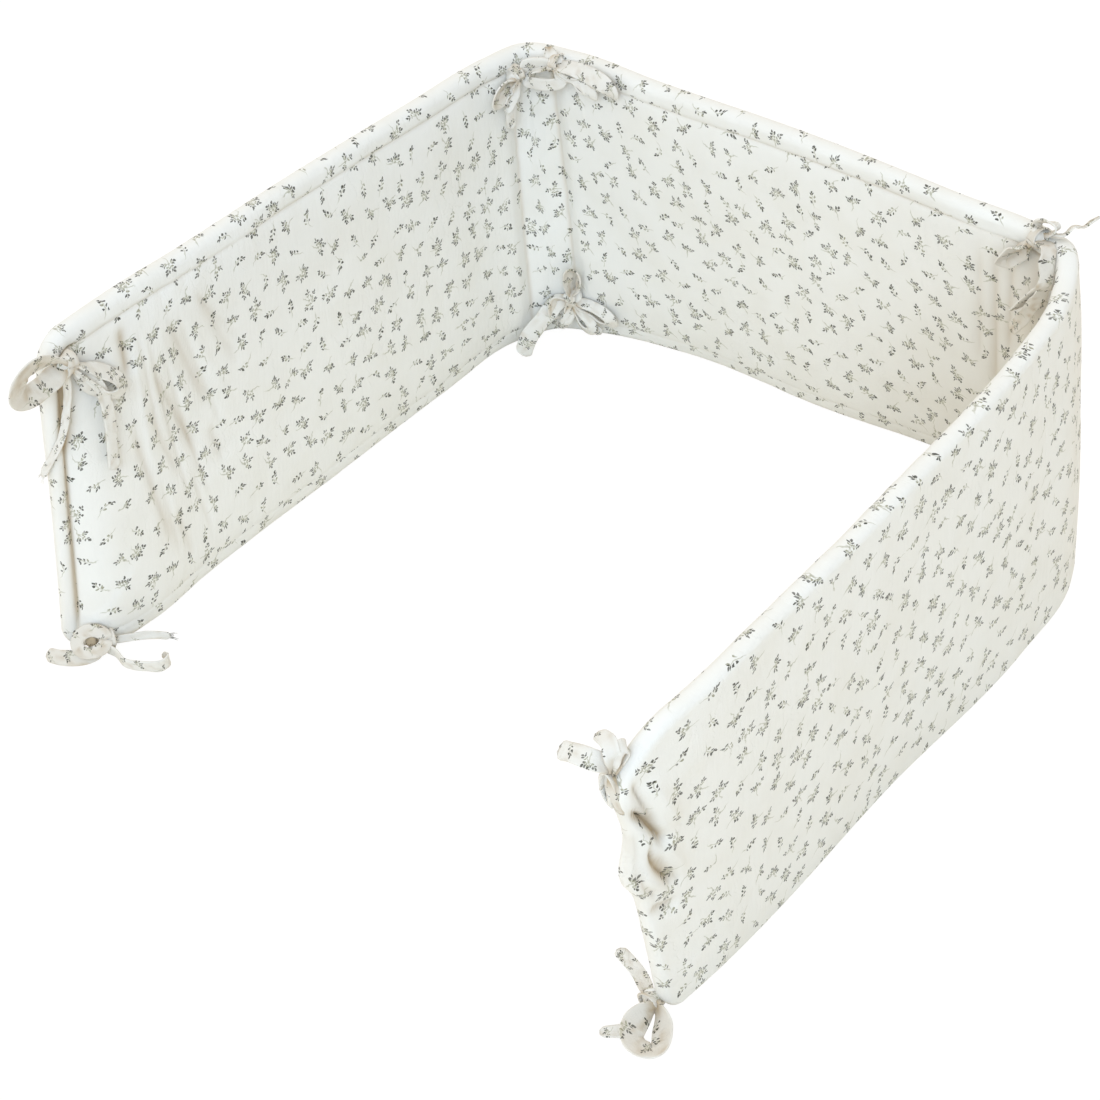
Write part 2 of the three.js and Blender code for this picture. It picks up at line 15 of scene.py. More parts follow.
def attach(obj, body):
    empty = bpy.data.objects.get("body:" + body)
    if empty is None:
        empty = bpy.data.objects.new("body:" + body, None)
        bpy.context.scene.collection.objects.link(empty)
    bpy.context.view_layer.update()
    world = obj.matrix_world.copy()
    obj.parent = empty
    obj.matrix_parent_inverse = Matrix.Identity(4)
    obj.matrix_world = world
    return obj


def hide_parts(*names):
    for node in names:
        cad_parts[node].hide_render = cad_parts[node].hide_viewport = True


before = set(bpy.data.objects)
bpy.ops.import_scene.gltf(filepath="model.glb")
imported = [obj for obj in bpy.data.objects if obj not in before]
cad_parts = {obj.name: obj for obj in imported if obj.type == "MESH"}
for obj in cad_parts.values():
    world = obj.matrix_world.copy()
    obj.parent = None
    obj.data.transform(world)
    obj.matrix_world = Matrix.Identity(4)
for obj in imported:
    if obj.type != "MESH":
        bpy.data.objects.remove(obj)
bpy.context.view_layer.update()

log = logging.getLogger("crib_bumper")

MM = 0.001
TIGHTEST = 1e-6
UPWARD = np.array([0.0, 0.0, 1.0])
CLOTH_MAP = "cloth"
# Name of the point attribute that carries the shade painted into the cloth's colour.
PAINTED_SHADE_MARK = "painted_shade"
SLOT = "printed_muslin"
STRIP_PIECE = "padded_strip_muslin"
Array = np.ndarray
Pair = tuple[float, float]
Triple = tuple[float, float, float]
Place = tuple[Array, Array]


class Face(Enum):
    """The two faces of the strip, and the bend that both share."""

    INNER = 1
    OUTER = -1
    BOTH = 0


# ----------------------------------------------------------------------------------------------------
# Small tools
# ----------------------------------------------------------------------------------------------------


def unit(vectors: Array) -> Array:
    """Vectors of length one."""
    return vectors / np.maximum(np.linalg.norm(vectors, axis=-1, keepdims=True), 1e-9)


def smooth_step(values: Array) -> Array:
    """An S curve from 0 at 0 to 1 at 1."""
    t = np.clip(values, 0.0, 1.0)
    return t * t * (3 - 2 * t)


def bell(distance: Array, width: float) -> Array:
    """1 at no distance, and near 0 from about two widths on."""
    return np.exp(-((distance / width) ** 2))


def spread(along: Array, up: Array) -> Place:
    """Distances along the strip and heights as two arrays of one shape."""
    return np.broadcast_arrays(np.asarray(along, float), np.asarray(up, float))


def run_lengths(points: Array) -> Array:
    """How far along a line of points each one lies."""
    return np.concatenate([[0], np.cumsum(np.linalg.norm(np.diff(points, axis=0), axis=1))])


def link(name: str, data: bpy.types.ID) -> bpy.types.Object:
    """A new object in the scene that holds some data."""
    made = bpy.data.objects.new(name, data)
    bpy.context.scene.collection.objects.link(made)
    return made


def stand(thing: bpy.types.Object, axes: list[Array], place: Triple) -> None:
    """Stands a camera or lamp at a place, along its three axes."""
    thing.matrix_world = Matrix([*np.array([*axes, place]).T.tolist(), [0, 0, 0, 1]])


def set_in_frame(piece: bpy.types.Object, node: str, muslin: bpy.types.Material) -> None:
    """Gives a piece its cloth and says what it rides and replaces."""
    piece.data.materials.append(muslin)
    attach(piece, "root")
    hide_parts(node)


def soft_noise(x: Array, y: Array, size: float, seed: int) -> Array:
    """Smooth random relief on a plane.

    Args:
        x: First coordinate, in mm.
        y: Second coordinate, in mm.
        size: Distance between neighbouring bumps, in mm.
        seed: Number that picks the relief.

    Returns:
        Values from about -1 to 1.
    """
    cells = 64
    lattice = np.random.default_rng(seed).uniform(-1, 1, (cells, cells))
    px, py = np.broadcast_arrays(x / size + 7.3, y / size + 3.1)
    i, j = np.floor(px).astype(int), np.floor(py).astype(int)
    s, t = smooth_step(px - i), smooth_step(py - j)

    def at(di: int, dj: int) -> Array:
        """Lattice values at a corner of each cell."""
        return lattice[(i + di) % cells, (j + dj) % cells]

    low = at(0, 0) * (1 - s) + at(1, 0) * s
    high = at(0, 1) * (1 - s) + at(1, 1) * s
    return low * (1 - t) + high * t


# ----------------------------------------------------------------------------------------------------
# The strip: where it stands and how its faces swell
# ----------------------------------------------------------------------------------------------------


@dataclass(frozen=True)
class Course:
    """Where the middle surface of the strip stands: its top edge (head) and its bottom edge (foot), in mm.

    Each row holds the distance along the strip, the head's x and y and the foot's x and y.
    """

    length: float = 1800.0
    height: float = 296.0
    centre: Pair = (6.2, -282.4)
    lift_along: float = 1185.0
    lift_rise: float = 9.0
    lift_width: float = 32.0
    probe: float = 3.0
    rows: tuple[tuple[float, ...], ...] = (
        (0, -304, -541, -333, -580),
        (36, -306, -509, -303, -560),
        (88, -308, -456, -293, -515),
        (150, -306, -400, -299, -455),
        (296, -306, -272, -303, -305),
        (452, -301, -132, -307, -150),
        (543, -297, -48, -306, -61),
        (589, -286, -13, -287, -20),
        (637, -244, -2, -248, 0),
        (738, -150, -1, -154, 23),
        (896, 0, 4, -5, 30),
        (1049, 150, 0, 135, 42),
        (1139, 239, -4, 214, 30),
        (1193, 272, -26, 263, -6),
        (1242, 291, -62, 290, -51),
        (1319, 306, -125, 302, -130),
        (1510, 325, -305, 306, -310),
        (1663, 334, -450, 315, -455),
        (1745, 338, -540, 316, -520),
        (1800, 333, -609, 314, -568),
    )

    def column(self, index: int, along: Array) -> Array:
        """One column of the rows at places along the strip, on a smooth curve.

        Args:
            index: Which column.
            along: Distances from the strip's left end, in mm.

        Returns:
            The column's value at each place.
        """
        table = np.array(self.rows, dtype=float)
        knots, values = table[:, 0], table[:, index]
        gaps = np.diff(knots)
        slopes = np.diff(values) / gaps
        tangents = np.empty_like(values)
        tangents[0], tangents[-1] = slopes[0], slopes[-1]
        tangents[1:-1] = (slopes[:-1] * gaps[1:] + slopes[1:] * gaps[:-1]) / (gaps[:-1] + gaps[1:])
        row = np.clip(np.searchsorted(knots, along, side="right") - 1, 0, len(gaps) - 1)
        span = gaps[row]
        t = (along - knots[row]) / span
        s = np.clip(t, 0.0, 1.0)
        s2, s3 = s * s, s * s * s
        value = (2 * s3 - 3 * s2 + 1) * values[row] + (3 * s2 - 2 * s3) * values[row + 1]
        value = value + ((s3 - 2 * s2 + s) * tangents[row] + (s3 - s2) * tangents[row + 1]) * span
        return value + np.where(t < 0, tangents[row], tangents[row + 1]) * span * (t - s)

    def middle(self, along: Array, up: Array) -> Array:
        """Points of the middle surface.

        Args:
            along: Distances from the left end.
            up: Heights on the strip.

        Returns:
            One point for each place, in mm.
        """
        along, up = spread(along, up)
        share = up / self.height
        head_x, head_y, foot_x, foot_y = (self.column(index, along) for index in (1, 2, 3, 4))
        x = foot_x + (head_x - foot_x) * share - self.centre[0]
        y = foot_y + (head_y - foot_y) * share - self.centre[1]
        lift = self.lift_rise * bell(along - self.lift_along, self.lift_width) * share**2
        return np.stack([x, y, up + lift], axis=-1)

    def directions(self, along: Array, up: Array) -> tuple[Array, Array]:
        """Level unit vectors onward along the strip, and inward to the middle of the cot."""
        onward = self.middle(along + self.probe, up) - self.middle(along - self.probe, up)
        onward[..., 2] = 0
        onward = unit(onward)
        inward = np.stack([onward[..., 1], -onward[..., 0], np.zeros(onward.shape[:-1])], axis=-1)
        return onward, inward


@dataclass(frozen=True)
class Fold:
    """A soft fold or pull, straight from one place on the strip to another, in mm.

    A positive depth presses into the pad, and a negative one stands out of it.
    """

    from_along: float
    from_up: float
    to_along: float
    to_up: float
    depth: float
    width: float
    face: Face = Face.INNER
    fade: float = 0.25
    sharpness: float = 1.4

    def share(self, along: Array, up: Array) -> Array:
        """1 in the middle of the fold and 0 away from it, fading towards both of its ends."""
        run_along, run_up = self.to_along - self.from_along, self.to_up - self.from_up
        square = run_along**2 + run_up**2
        t = ((along - self.from_along) * run_along + (up - self.from_up) * run_up) / square
        across = ((along - self.from_along) * run_up - (up - self.from_up) * run_along) / math.sqrt(square)
        profile = np.exp(-(np.abs(across / self.width) ** self.sharpness))
        return profile * smooth_step(np.minimum(t, 1 - t) / self.fade)


def folds_of(face: Face, rows: tuple[tuple[float, ...], ...]) -> tuple[Fold, ...]:
    """Folds of one face from rows of from along, from up, to along, to up, depth and width."""
    return tuple(Fold(*row, face) for row in rows)


MAIN_FOLDS = (
    *folds_of(
        Face.INNER,
        (
            (78, 276, 82, 225, 6, 5.5),
            (64, 262, 66, 205, -2.5, 8),
            (77, 198, 116, 46, 3.5, 5.5),
            (95, 200, 132, 104, 2.5, 4.5),
            (106, 225, 158, 110, 3.5, 5.5),
            (124, 264, 173, 148, 3.5, 5.5),
            (160, 268, 208, 170, 2.5, 6),
            (168, 140, 182, 94, 2.5, 5.5),
            (118, 92, 136, 28, 2.5, 5.5),
            (18, 266, 15, 188, 13, 6),
            (86, 262, 100, 120, -1.2, 3.5),
            (92, 270, 112, 150, 1.8, 2.6),
            (101, 268, 140, 70, 1.8, 2.6),
            (112, 262, 150, 150, -1.3, 3.5),
            (118, 240, 166, 60, 1.8, 2.8),
            (136, 262, 186, 120, 1.8, 2.6),
            (146, 250, 196, 140, -1.2, 3.5),
            (152, 272, 214, 190, 1.6, 2.6),
            (104, 130, 120, 40, 1.5, 2.8),
            (142, 110, 160, 40, 1.6, 2.8),
            (1080, 278, 1076, 120, 2, 5),
            (1094, 278, 1092, 90, 3, 4.5),
            (1110, 276, 1108, 150, 2.5, 4.5),
        ),
    ),
    *folds_of(
        Face.OUTER,
        (
            (1799, 246, 1774, 182, 12, 2.4),
            (1793, 272, 1781, 206, 5, 2.2),
            (1782, 262, 1766, 196, -3, 6),
            (1800, 232, 1784, 178, -3.5, 2.8),
            (1790, 202, 1776, 136, 8, 2.3),
            (1799, 222, 1798, 164, 3.5, 2.6),
            (1783, 186, 1770, 132, 4, 2.6),
            (1796, 184, 1790, 136, 4, 2.2),
            (1777, 196, 1764, 140, -2, 4),
            (1801, 132, 1774, 116, 5, 4.5),
        ),
    ),
    Fold(120, 250, 190, 60, 4, 40, Face.BOTH, sharpness=2.0),
)


@dataclass(frozen=True)
class Bulge:
    """A soft swelling round one place on the strip: how far it reaches along and up, and how far it moves, in mm."""

    along: float
    up: float
    half_along: float
    half_up: float
    onward: float
    outward: float

    def share(self, along: Array, up: Array) -> Array:
        """1 at the place and 0 away from it."""
        reach_along, reach_up = (along - self.along) / self.half_along, (up - self.up) / self.half_up
        return np.exp(-(reach_along**2) - reach_up**2)


@dataclass(frozen=True)
class Relief:
    """Soft uneven relief of the cloth: its depth, the distance between its bumps, and the seed that picks it."""

    depth: float
    size: float
    seed: int

    def at(self, along: Array, up: Array) -> Array:
        """The relief at places on the strip, in mm."""
        return self.depth * soft_noise(along, up, self.size, self.seed)


@dataclass(frozen=True)
class PadShape:
    """How the strip is stuffed and sewn: its rolled edge, seam, channels and swell, in mm.

    The relief of the roll, and of how tightly its seam is drawn, is a share of their size.
    """

    course: Course = Course()
    roll_radius: float = 8.5
    roll_centre: float = -1.0
    roll_waves: tuple[Relief, ...] = (Relief(0.5, 8.0, 11), Relief(0.9, 31.0, 12))
    roll_unevenness: float = 0.06
    corner_foot: float = 17.0
    corner_left_head: float = 30.0
    corner_right_head: float = 50.0
    seam_distance: float = 16.5
    seam_inward: float = 2.0
    seam_waves: tuple[Relief, ...] = (Relief(0.3, 46.0, 14), Relief(0.25, 13.0, 15))
    seam_fade: float = 40.0
    stitch_depth: float = 0.8
    stitch_width: float = 1.4
    loosest_stitch: float = 0.25
    head_seam: float = 0.5
    foot_seam: float = 0.12
    loosest_seam: float = 0.04
    seam_level: float = 0.5
    head_band: float = 60.0
    end_reach: float = 30.0
    end_tightness: float = 1.6
    right_end_seam: float = 0.8
    foot_end: float = 6.0
    foot_end_seam: float = 0.25
    inner_crown: float = 10.0
    inner_rise: float = 20.0
    rise_power: float = 0.8
    inner_waves: tuple[Relief, ...] = (Relief(1.1, 74.0, 21), Relief(0.35, 26.0, 22))
    pucker: Relief = Relief(0.9, 7.0, 23)
    pucker_gain: float = 1.6
    pucker_reach: float = 9.0
    outer_crown: float = 2.5
    outer_rise: float = 45.0
    outer_waves: tuple[Relief, ...] = (Relief(1.0, 88.0, 31), Relief(0.25, 30.0, 32))
    outer_fold_rise: float = 12.0
    wall_wave: Relief = Relief(1.2, 190.0, 41)
    shoulder: float = 3.2
    channels: tuple[float, ...] = (565.0, 620.0, 1165.0, 1226.0)
    channel_inner_depth: float = 6.5
    channel_outer_depth: float = 1.5
    channel_width: float = 9.0
    channel_creases: Relief = Relief(0.9, 9.0, 24)
    channel_crease_reach: float = 14.0
    channel_crease_stretch: float = 0.25
    inner_thread_depth: float = 0.8
    inner_thread_width: float = 1.6
    outer_thread_depth: float = 0.5
    outer_thread_width: float = 1.8
    folds: tuple[Fold, ...] = MAIN_FOLDS
    # Painted shade on the strip: the fold depth that is painted darkest, and how much shade is painted along the roll's
    # seam, on the sewn channels and round the dim corner.
    darkest_fold: float = 7.0
    seam_shade: Pair = (0.12, 0.85)
    seam_shade_width: float = 1.6
    channel_shade: float = 0.55
    channel_shade_width: float = 2.5
    dim_corner: float = 1150.0
    dim: float = 0.28
    dim_reach: float = 115.0
    dim_core: float = 26.0
    bulges: tuple[Bulge, ...] = (
        Bulge(1799, 168, 22, 20, 9.0, 2.0),
        Bulge(1799, 210, 18, 20, -2.5, -1.5),
        Bulge(1786, 162, 11, 18, 0.0, 4.5),
        Bulge(1776, 215, 12, 24, 0.0, 2.5),
    )
    bulge_inside: float = 0.35
    settle: float = 0.8
    roll_spare: float = 1.04
    guesses: int = 4

    def head_radius(self, along: Array) -> Array:
        """Rounding of the top corner at the nearer end of the strip."""
        return np.where(along < self.course.length / 2, self.corner_left_head, self.corner_right_head)

    def rim(self, along: Array, up: Array) -> tuple[Array, Array, Array]:
        """Where places on the strip lie from its rim, which has rounded corners.

        Args:
            along: Distances from the left end.
            up: Heights on the strip.

        Returns:
            The distance to the rim, and the way to it along the strip and up.
        """
        length, height = self.course.length, self.course.height
        along, up = spread(along, up)
        side, edge = np.minimum(along, length - along), np.minimum(up, height - up)
        end_way = np.where(along < length / 2, -1.0, 1.0)
        edge_way = np.where(up < height / 2, -1.0, 1.0)
        radius = np.where(up < height / 2, self.corner_foot, self.head_radius(along))
        in_corner = (side < radius) & (edge < radius)
        reach_a, reach_u = radius - side, radius - edge
        reach = np.maximum(np.hypot(reach_a, reach_u), TIGHTEST)
        nearer_end = side < edge
        distance = np.where(in_corner, radius - reach, np.minimum(side, edge))
        way_along = np.where(in_corner, end_way * reach_a / reach, np.where(nearer_end, end_way, 0.0))
        way_up = np.where(in_corner, edge_way * reach_u / reach, np.where(nearer_end, 0.0, edge_way))
        return np.maximum(distance, 0.0), way_along, way_up

    def nearest_seam(self, along: Array, up: Array) -> tuple[Array, Place]:
        """The distance to the rim, and the place of the roll's seam that lies nearest."""
        distance, way_along, way_up = self.rim(along, up)
        back = self.seam_distance - distance
        return distance, (along - way_along * back, up - way_up * back)

    def drawn_in(self, radius: Array, side: Array) -> Array:
        """How far a rounded corner draws the top or bottom edge in, at a distance from the strip's end."""
        reach = np.maximum(radius - side, 0.0)
        return radius - np.sqrt(radius**2 - reach**2)

    def fold_depth(self, along: Array, up: Array, face: Face) -> Array:
        """Depth of all the folds of one face."""
        return sum((fold.depth * fold.share(along, up) for fold in self.folds if fold.face is face), np.zeros(1))

    def channel_share(self, along: Array, width: float) -> Array:
        """1 on a sewn channel and 0 away from it."""
        return np.max(np.stack([bell(along - channel, width) for channel in self.channels]), axis=0)

    def roll_half(self, distance: Array, seam: Place) -> Array:
        """Half thickness of the roll at a distance from the rim, with the small puckers of its stitching."""
        radius = self.roll_radius
        half = np.sqrt(np.maximum(radius**2 - (radius - np.minimum(distance, 2 * radius)) ** 2, 0.0))
        return half * (1 + self.roll_unevenness * sum(wave.at(*seam) for wave in self.roll_waves))

    def seam_strength(self, seam: Place) -> Array:
        """How tightly the roll's seam is drawn, from 0 to 1: tight at the left end, loose along the foot."""
        along, up = seam
        length, height = self.course.length, self.course.height
        at_left, at_right = (smooth_step(self.end_tightness - way / self.end_reach) for way in (along, length - along))
        at_end = at_left + self.right_end_seam * at_right
        head = smooth_step((up - height + self.head_band) / self.seam_fade)
        puckered = sum((wave.at(*seam) for wave in self.seam_waves), self.seam_level)
        above_foot = smooth_step((up - self.foot_end) / self.seam_fade)
        ends = at_end * (self.foot_end_seam + (1 - self.foot_end_seam) * above_foot)
        edges = self.head_seam * head * puckered + self.foot_seam * (1 - head) * puckered
        return np.clip(ends + edges, self.loosest_seam, 1.0)

    def inner_offset(self, along: Array, up: Array) -> Array:
        """How far the inner face lies inward of the middle surface."""
        along, up = spread(along, up)
        distance, seam = self.nearest_seam(along, up)
        roll = self.roll_centre + self.roll_half(distance, seam)
        beyond = np.maximum(distance - self.seam_distance, 0.0)
        rise = 1 - np.exp(-((beyond / self.inner_rise) ** self.rise_power))
        waves = sum(wave.at(along, up) for wave in self.inner_waves)
        near_channel = self.channel_share(along, self.channel_crease_reach)
        waves = waves + near_channel * self.channel_creases.at(along * self.channel_crease_stretch, up)
        pucker = np.exp(-beyond / self.pucker_reach) * self.pucker.at(*seam)
        crown = self.inner_crown - self.channel_inner_depth * self.channel_share(along, self.channel_width)
        crown = crown - self.inner_thread_depth * self.channel_share(along, self.inner_thread_width)
        relief = waves + pucker * self.pucker_gain - self.fold_depth(along, up, Face.INNER)
        drawn = np.where(
            distance < self.seam_distance,
            np.maximum(roll, self.seam_inward),
            self.seam_inward + rise * (crown + relief),
        )
        crest = self.roll_centre + self.roll_radius
        swell = 1 - np.exp(-np.maximum(distance - self.roll_radius, 0.0) / self.inner_rise)
        loose_roll = np.where(distance < self.roll_radius, roll, crest)
        loose = loose_roll + swell * (self.seam_inward + crown - crest) + rise * relief
        strength = self.seam_strength(seam)
        stitch = bell(distance - self.seam_distance, self.stitch_width) * (distance > self.seam_distance / 2)
        return loose + strength * (drawn - loose) - (self.loosest_stitch + strength) * self.stitch_depth * stitch

    def outer_offset(self, along: Array, up: Array) -> Array:
        """How far the outer face lies inward of the middle surface: a negative distance."""
        along, up = spread(along, up)
        distance, seam = self.nearest_seam(along, up)
        round_half = self.roll_half(np.minimum(distance, self.roll_radius), seam)
        left = 1 - np.clip(distance / self.roll_radius, 0.0, 1.0)
        full = self.roll_radius * (1 - left**self.shoulder) ** (1 / self.shoulder)
        half = np.where(distance < self.roll_radius, full, round_half)
        rise = 1 - np.exp(-np.maximum(distance - self.roll_radius, 0.0) / self.outer_rise)
        swell = self.outer_crown - self.channel_outer_depth * self.channel_share(along, self.channel_width)
        swell = swell + sum(wave.at(along, up) for wave in self.outer_waves)
        swell = swell - self.outer_thread_depth * self.channel_share(along, self.outer_thread_width)
        fade = smooth_step(distance / self.outer_fold_rise)
        return self.roll_centre - half - swell * rise + self.fold_depth(along, up, Face.OUTER) * fade

    def points(self, along: Array, up: Array, face: Face) -> Array:
        """Points of one face of the strip, in mm.

        Args:
            along: Distances from the left end.
            up: Heights on the strip.
            face: The inner or the outer face.

        Returns:
            One point for each place.
        """
        inside = face is Face.INNER
        offset = self.inner_offset(along, up) if inside else self.outer_offset(along, up)
        fade = np.minimum(1.0, self.rim(along, up)[0] / self.outer_rise)
        bend = (self.fold_depth(along, up, Face.BOTH) + self.wall_wave.at(along, up)) * fade
        onward, inward = self.course.directions(along, up)
        points = self.course.middle(along, up) + inward * (offset - bend)[..., None]
        for bulge in self.bulges:
            share = bulge.share(along, up)
            outward = bulge.outward * (self.bulge_inside if inside else 1.0)
            points = points + onward * (share * bulge.onward)[..., None] - inward * (share * outward)[..., None]
        low = np.maximum(1 - points[..., 2] / self.roll_radius, 0.0)
        points[..., 2] = np.maximum(points[..., 2] - self.settle * low, 0.0)
        return points

    def painted_shade(self, along: Array, up: Array, face: Face) -> Array:
        """How much shade is painted at places, from 0 to 1: in folds, along the roll's seam, on the sewn channels and
        round the dim corner under the right corner's tie.
        """
        depth = np.clip(self.fold_depth(along, up, face) / self.darkest_fold, 0.0, 1.0)
        if face is Face.OUTER:
            return depth + np.zeros(np.broadcast(along, up).shape)
        distance, place = self.nearest_seam(along, up)
        strength = self.seam_strength(place)
        least, more = self.seam_shade
        seam = (least + more * strength) * bell(distance - self.seam_distance, self.seam_shade_width + strength)
        channel = self.channel_shade * self.channel_share(along, self.channel_shade_width)
        # Shade painted round the inside corner under the right corner's top tie, where the right wall keeps the light
        # off.
        corner = sum(self.dim * bell(along - self.dim_corner, reach) for reach in (self.dim_reach, self.dim_core))
        return np.clip(depth + seam + (channel + corner) * (distance > self.seam_distance), 0.0, 1.0)

    def place(self, along: Array, inward: Array, up: Array) -> Array:
        """Points near the strip: along it, inward of its middle surface, and up."""
        return self.course.middle(along, up) + self.course.directions(along, up)[1] * inward[..., None]

    def coordinates(self, points: Array, along: Array, inward: Array, up: Array) -> tuple[Array, Array, Array]:
        """Where points lie along the strip, inward of it and up.

        Args:
            points: The points, in mm.
            along: A first guess along the strip.
            inward: A first guess inward.
            up: A first guess of the height.

        Returns:
            The three coordinates.
        """
        for _ in range(self.guesses):
            onward, level = self.course.directions(along, up)
            missing = points - self.place(along, inward, up)
            along = along + np.sum(missing * onward, axis=-1)
            inward = inward + np.sum(missing * level, axis=-1)
            up = up + missing[..., 2]
        return along, inward, up

    def push_out(self, along: Array, inward: Array, up: Array, gap: float) -> Array:
        """The move that brings points out of the pad.

        Args:
            along: Distances from the left end.
            inward: Distances inward of the middle surface.
            up: Heights on the strip.
            gap: Least distance from the pad's surface.

        Returns:
            A move for each point, in mm; it is zero where the point is clear.
        """
        length, height = self.course.length, self.course.height
        inside = (along > 0) & (along < length) & (up > 0) & (up < height)
        distance, way_along, way_up = self.rim(along, up)
        onward, level = self.course.directions(along, up)
        rim_way = onward * way_along[..., None] + UPWARD * way_up[..., None]
        towards_rim = self.roll_radius - distance
        from_roll = inward - self.roll_centre
        radius = np.hypot(towards_rim, from_roll)
        short = np.maximum(self.roll_radius * self.roll_spare + gap - radius, 0.0) / np.maximum(radius, TIGHTEST)
        round_move = rim_way * (towards_rim * short)[..., None] + level * (from_roll * short)[..., None]
        inner = self.inner_offset(along, up) + gap - inward
        outer = self.outer_offset(along, up) - gap - inward
        flat = np.where(from_roll >= 0, np.maximum(inner, 0.0), np.minimum(outer, 0.0))
        flat_move = level * flat[..., None]
        move = np.where((distance < self.roll_radius)[..., None], round_move, flat_move)
        return np.where(inside[..., None], move, 0.0)


# ----------------------------------------------------------------------------------------------------
# Meshes
# ----------------------------------------------------------------------------------------------------


@dataclass
class Sewing:
    """Collects points, faces, cloth coordinates and a mark of painted shade for one mesh, in mm."""

    points: list[Array] = field(default_factory=list)
    faces: list[Array] = field(default_factory=list)
    corners: list[Array] = field(default_factory=list)
    painted_shades: list[Array] = field(default_factory=list)
    count: int = 0

    def add(self, points: Array, faces: Array, corners: Array, painted_shade: Array) -> None:
        """Adds a patch of cloth.

        Args:
            points: Its points.
            faces: Four point numbers for each face.
            corners: Cloth coordinates, two for each corner of each face.
            painted_shade: How much shade is painted on each point, most in creases.
        """
        self.points.append(points.reshape(-1, 3))
        self.faces.append(faces + self.count)
        self.corners.append(corners.reshape(-1, 2))
        self.painted_shades.append(painted_shade.reshape(-1))
        self.count += self.points[-1].shape[0]

    def make(self, name: str) -> bpy.types.Object:
        """The finished object, in metres, linked to the scene."""
        faces = np.concatenate(self.faces)
        mesh = bpy.data.meshes.new(name)
        mesh.from_pydata((np.concatenate(self.points) * MM).tolist(), [], faces.tolist())
        layer = mesh.uv_layers.new(name=CLOTH_MAP)
        layer.data.foreach_set("uv", (np.concatenate(self.corners) * MM).astype(np.float32).ravel())
        painted_shade = mesh.attributes.new(PAINTED_SHADE_MARK, "FLOAT", "POINT")
        painted_shade.data.foreach_set("value", np.concatenate(self.painted_shades).astype(np.float32))
        mesh.polygons.foreach_set("use_smooth", np.ones(len(mesh.polygons), dtype=bool))
        mesh.validate()
        mesh.update()
        return link(name, mesh)


def grid_quads(columns: int, rows: int) -> Array:
    """Point numbers of the faces of a grid, with the rows of one column side by side."""
    i, j = np.meshgrid(np.arange(columns - 1), np.arange(rows - 1), indexing="ij")
    first = (i * rows + j).ravel()
    return np.stack([first, first + rows, first + rows + 1, first + 1], axis=1)


# ----------------------------------------------------------------------------------------------------
# The padded strip
# ----------------------------------------------------------------------------------------------------


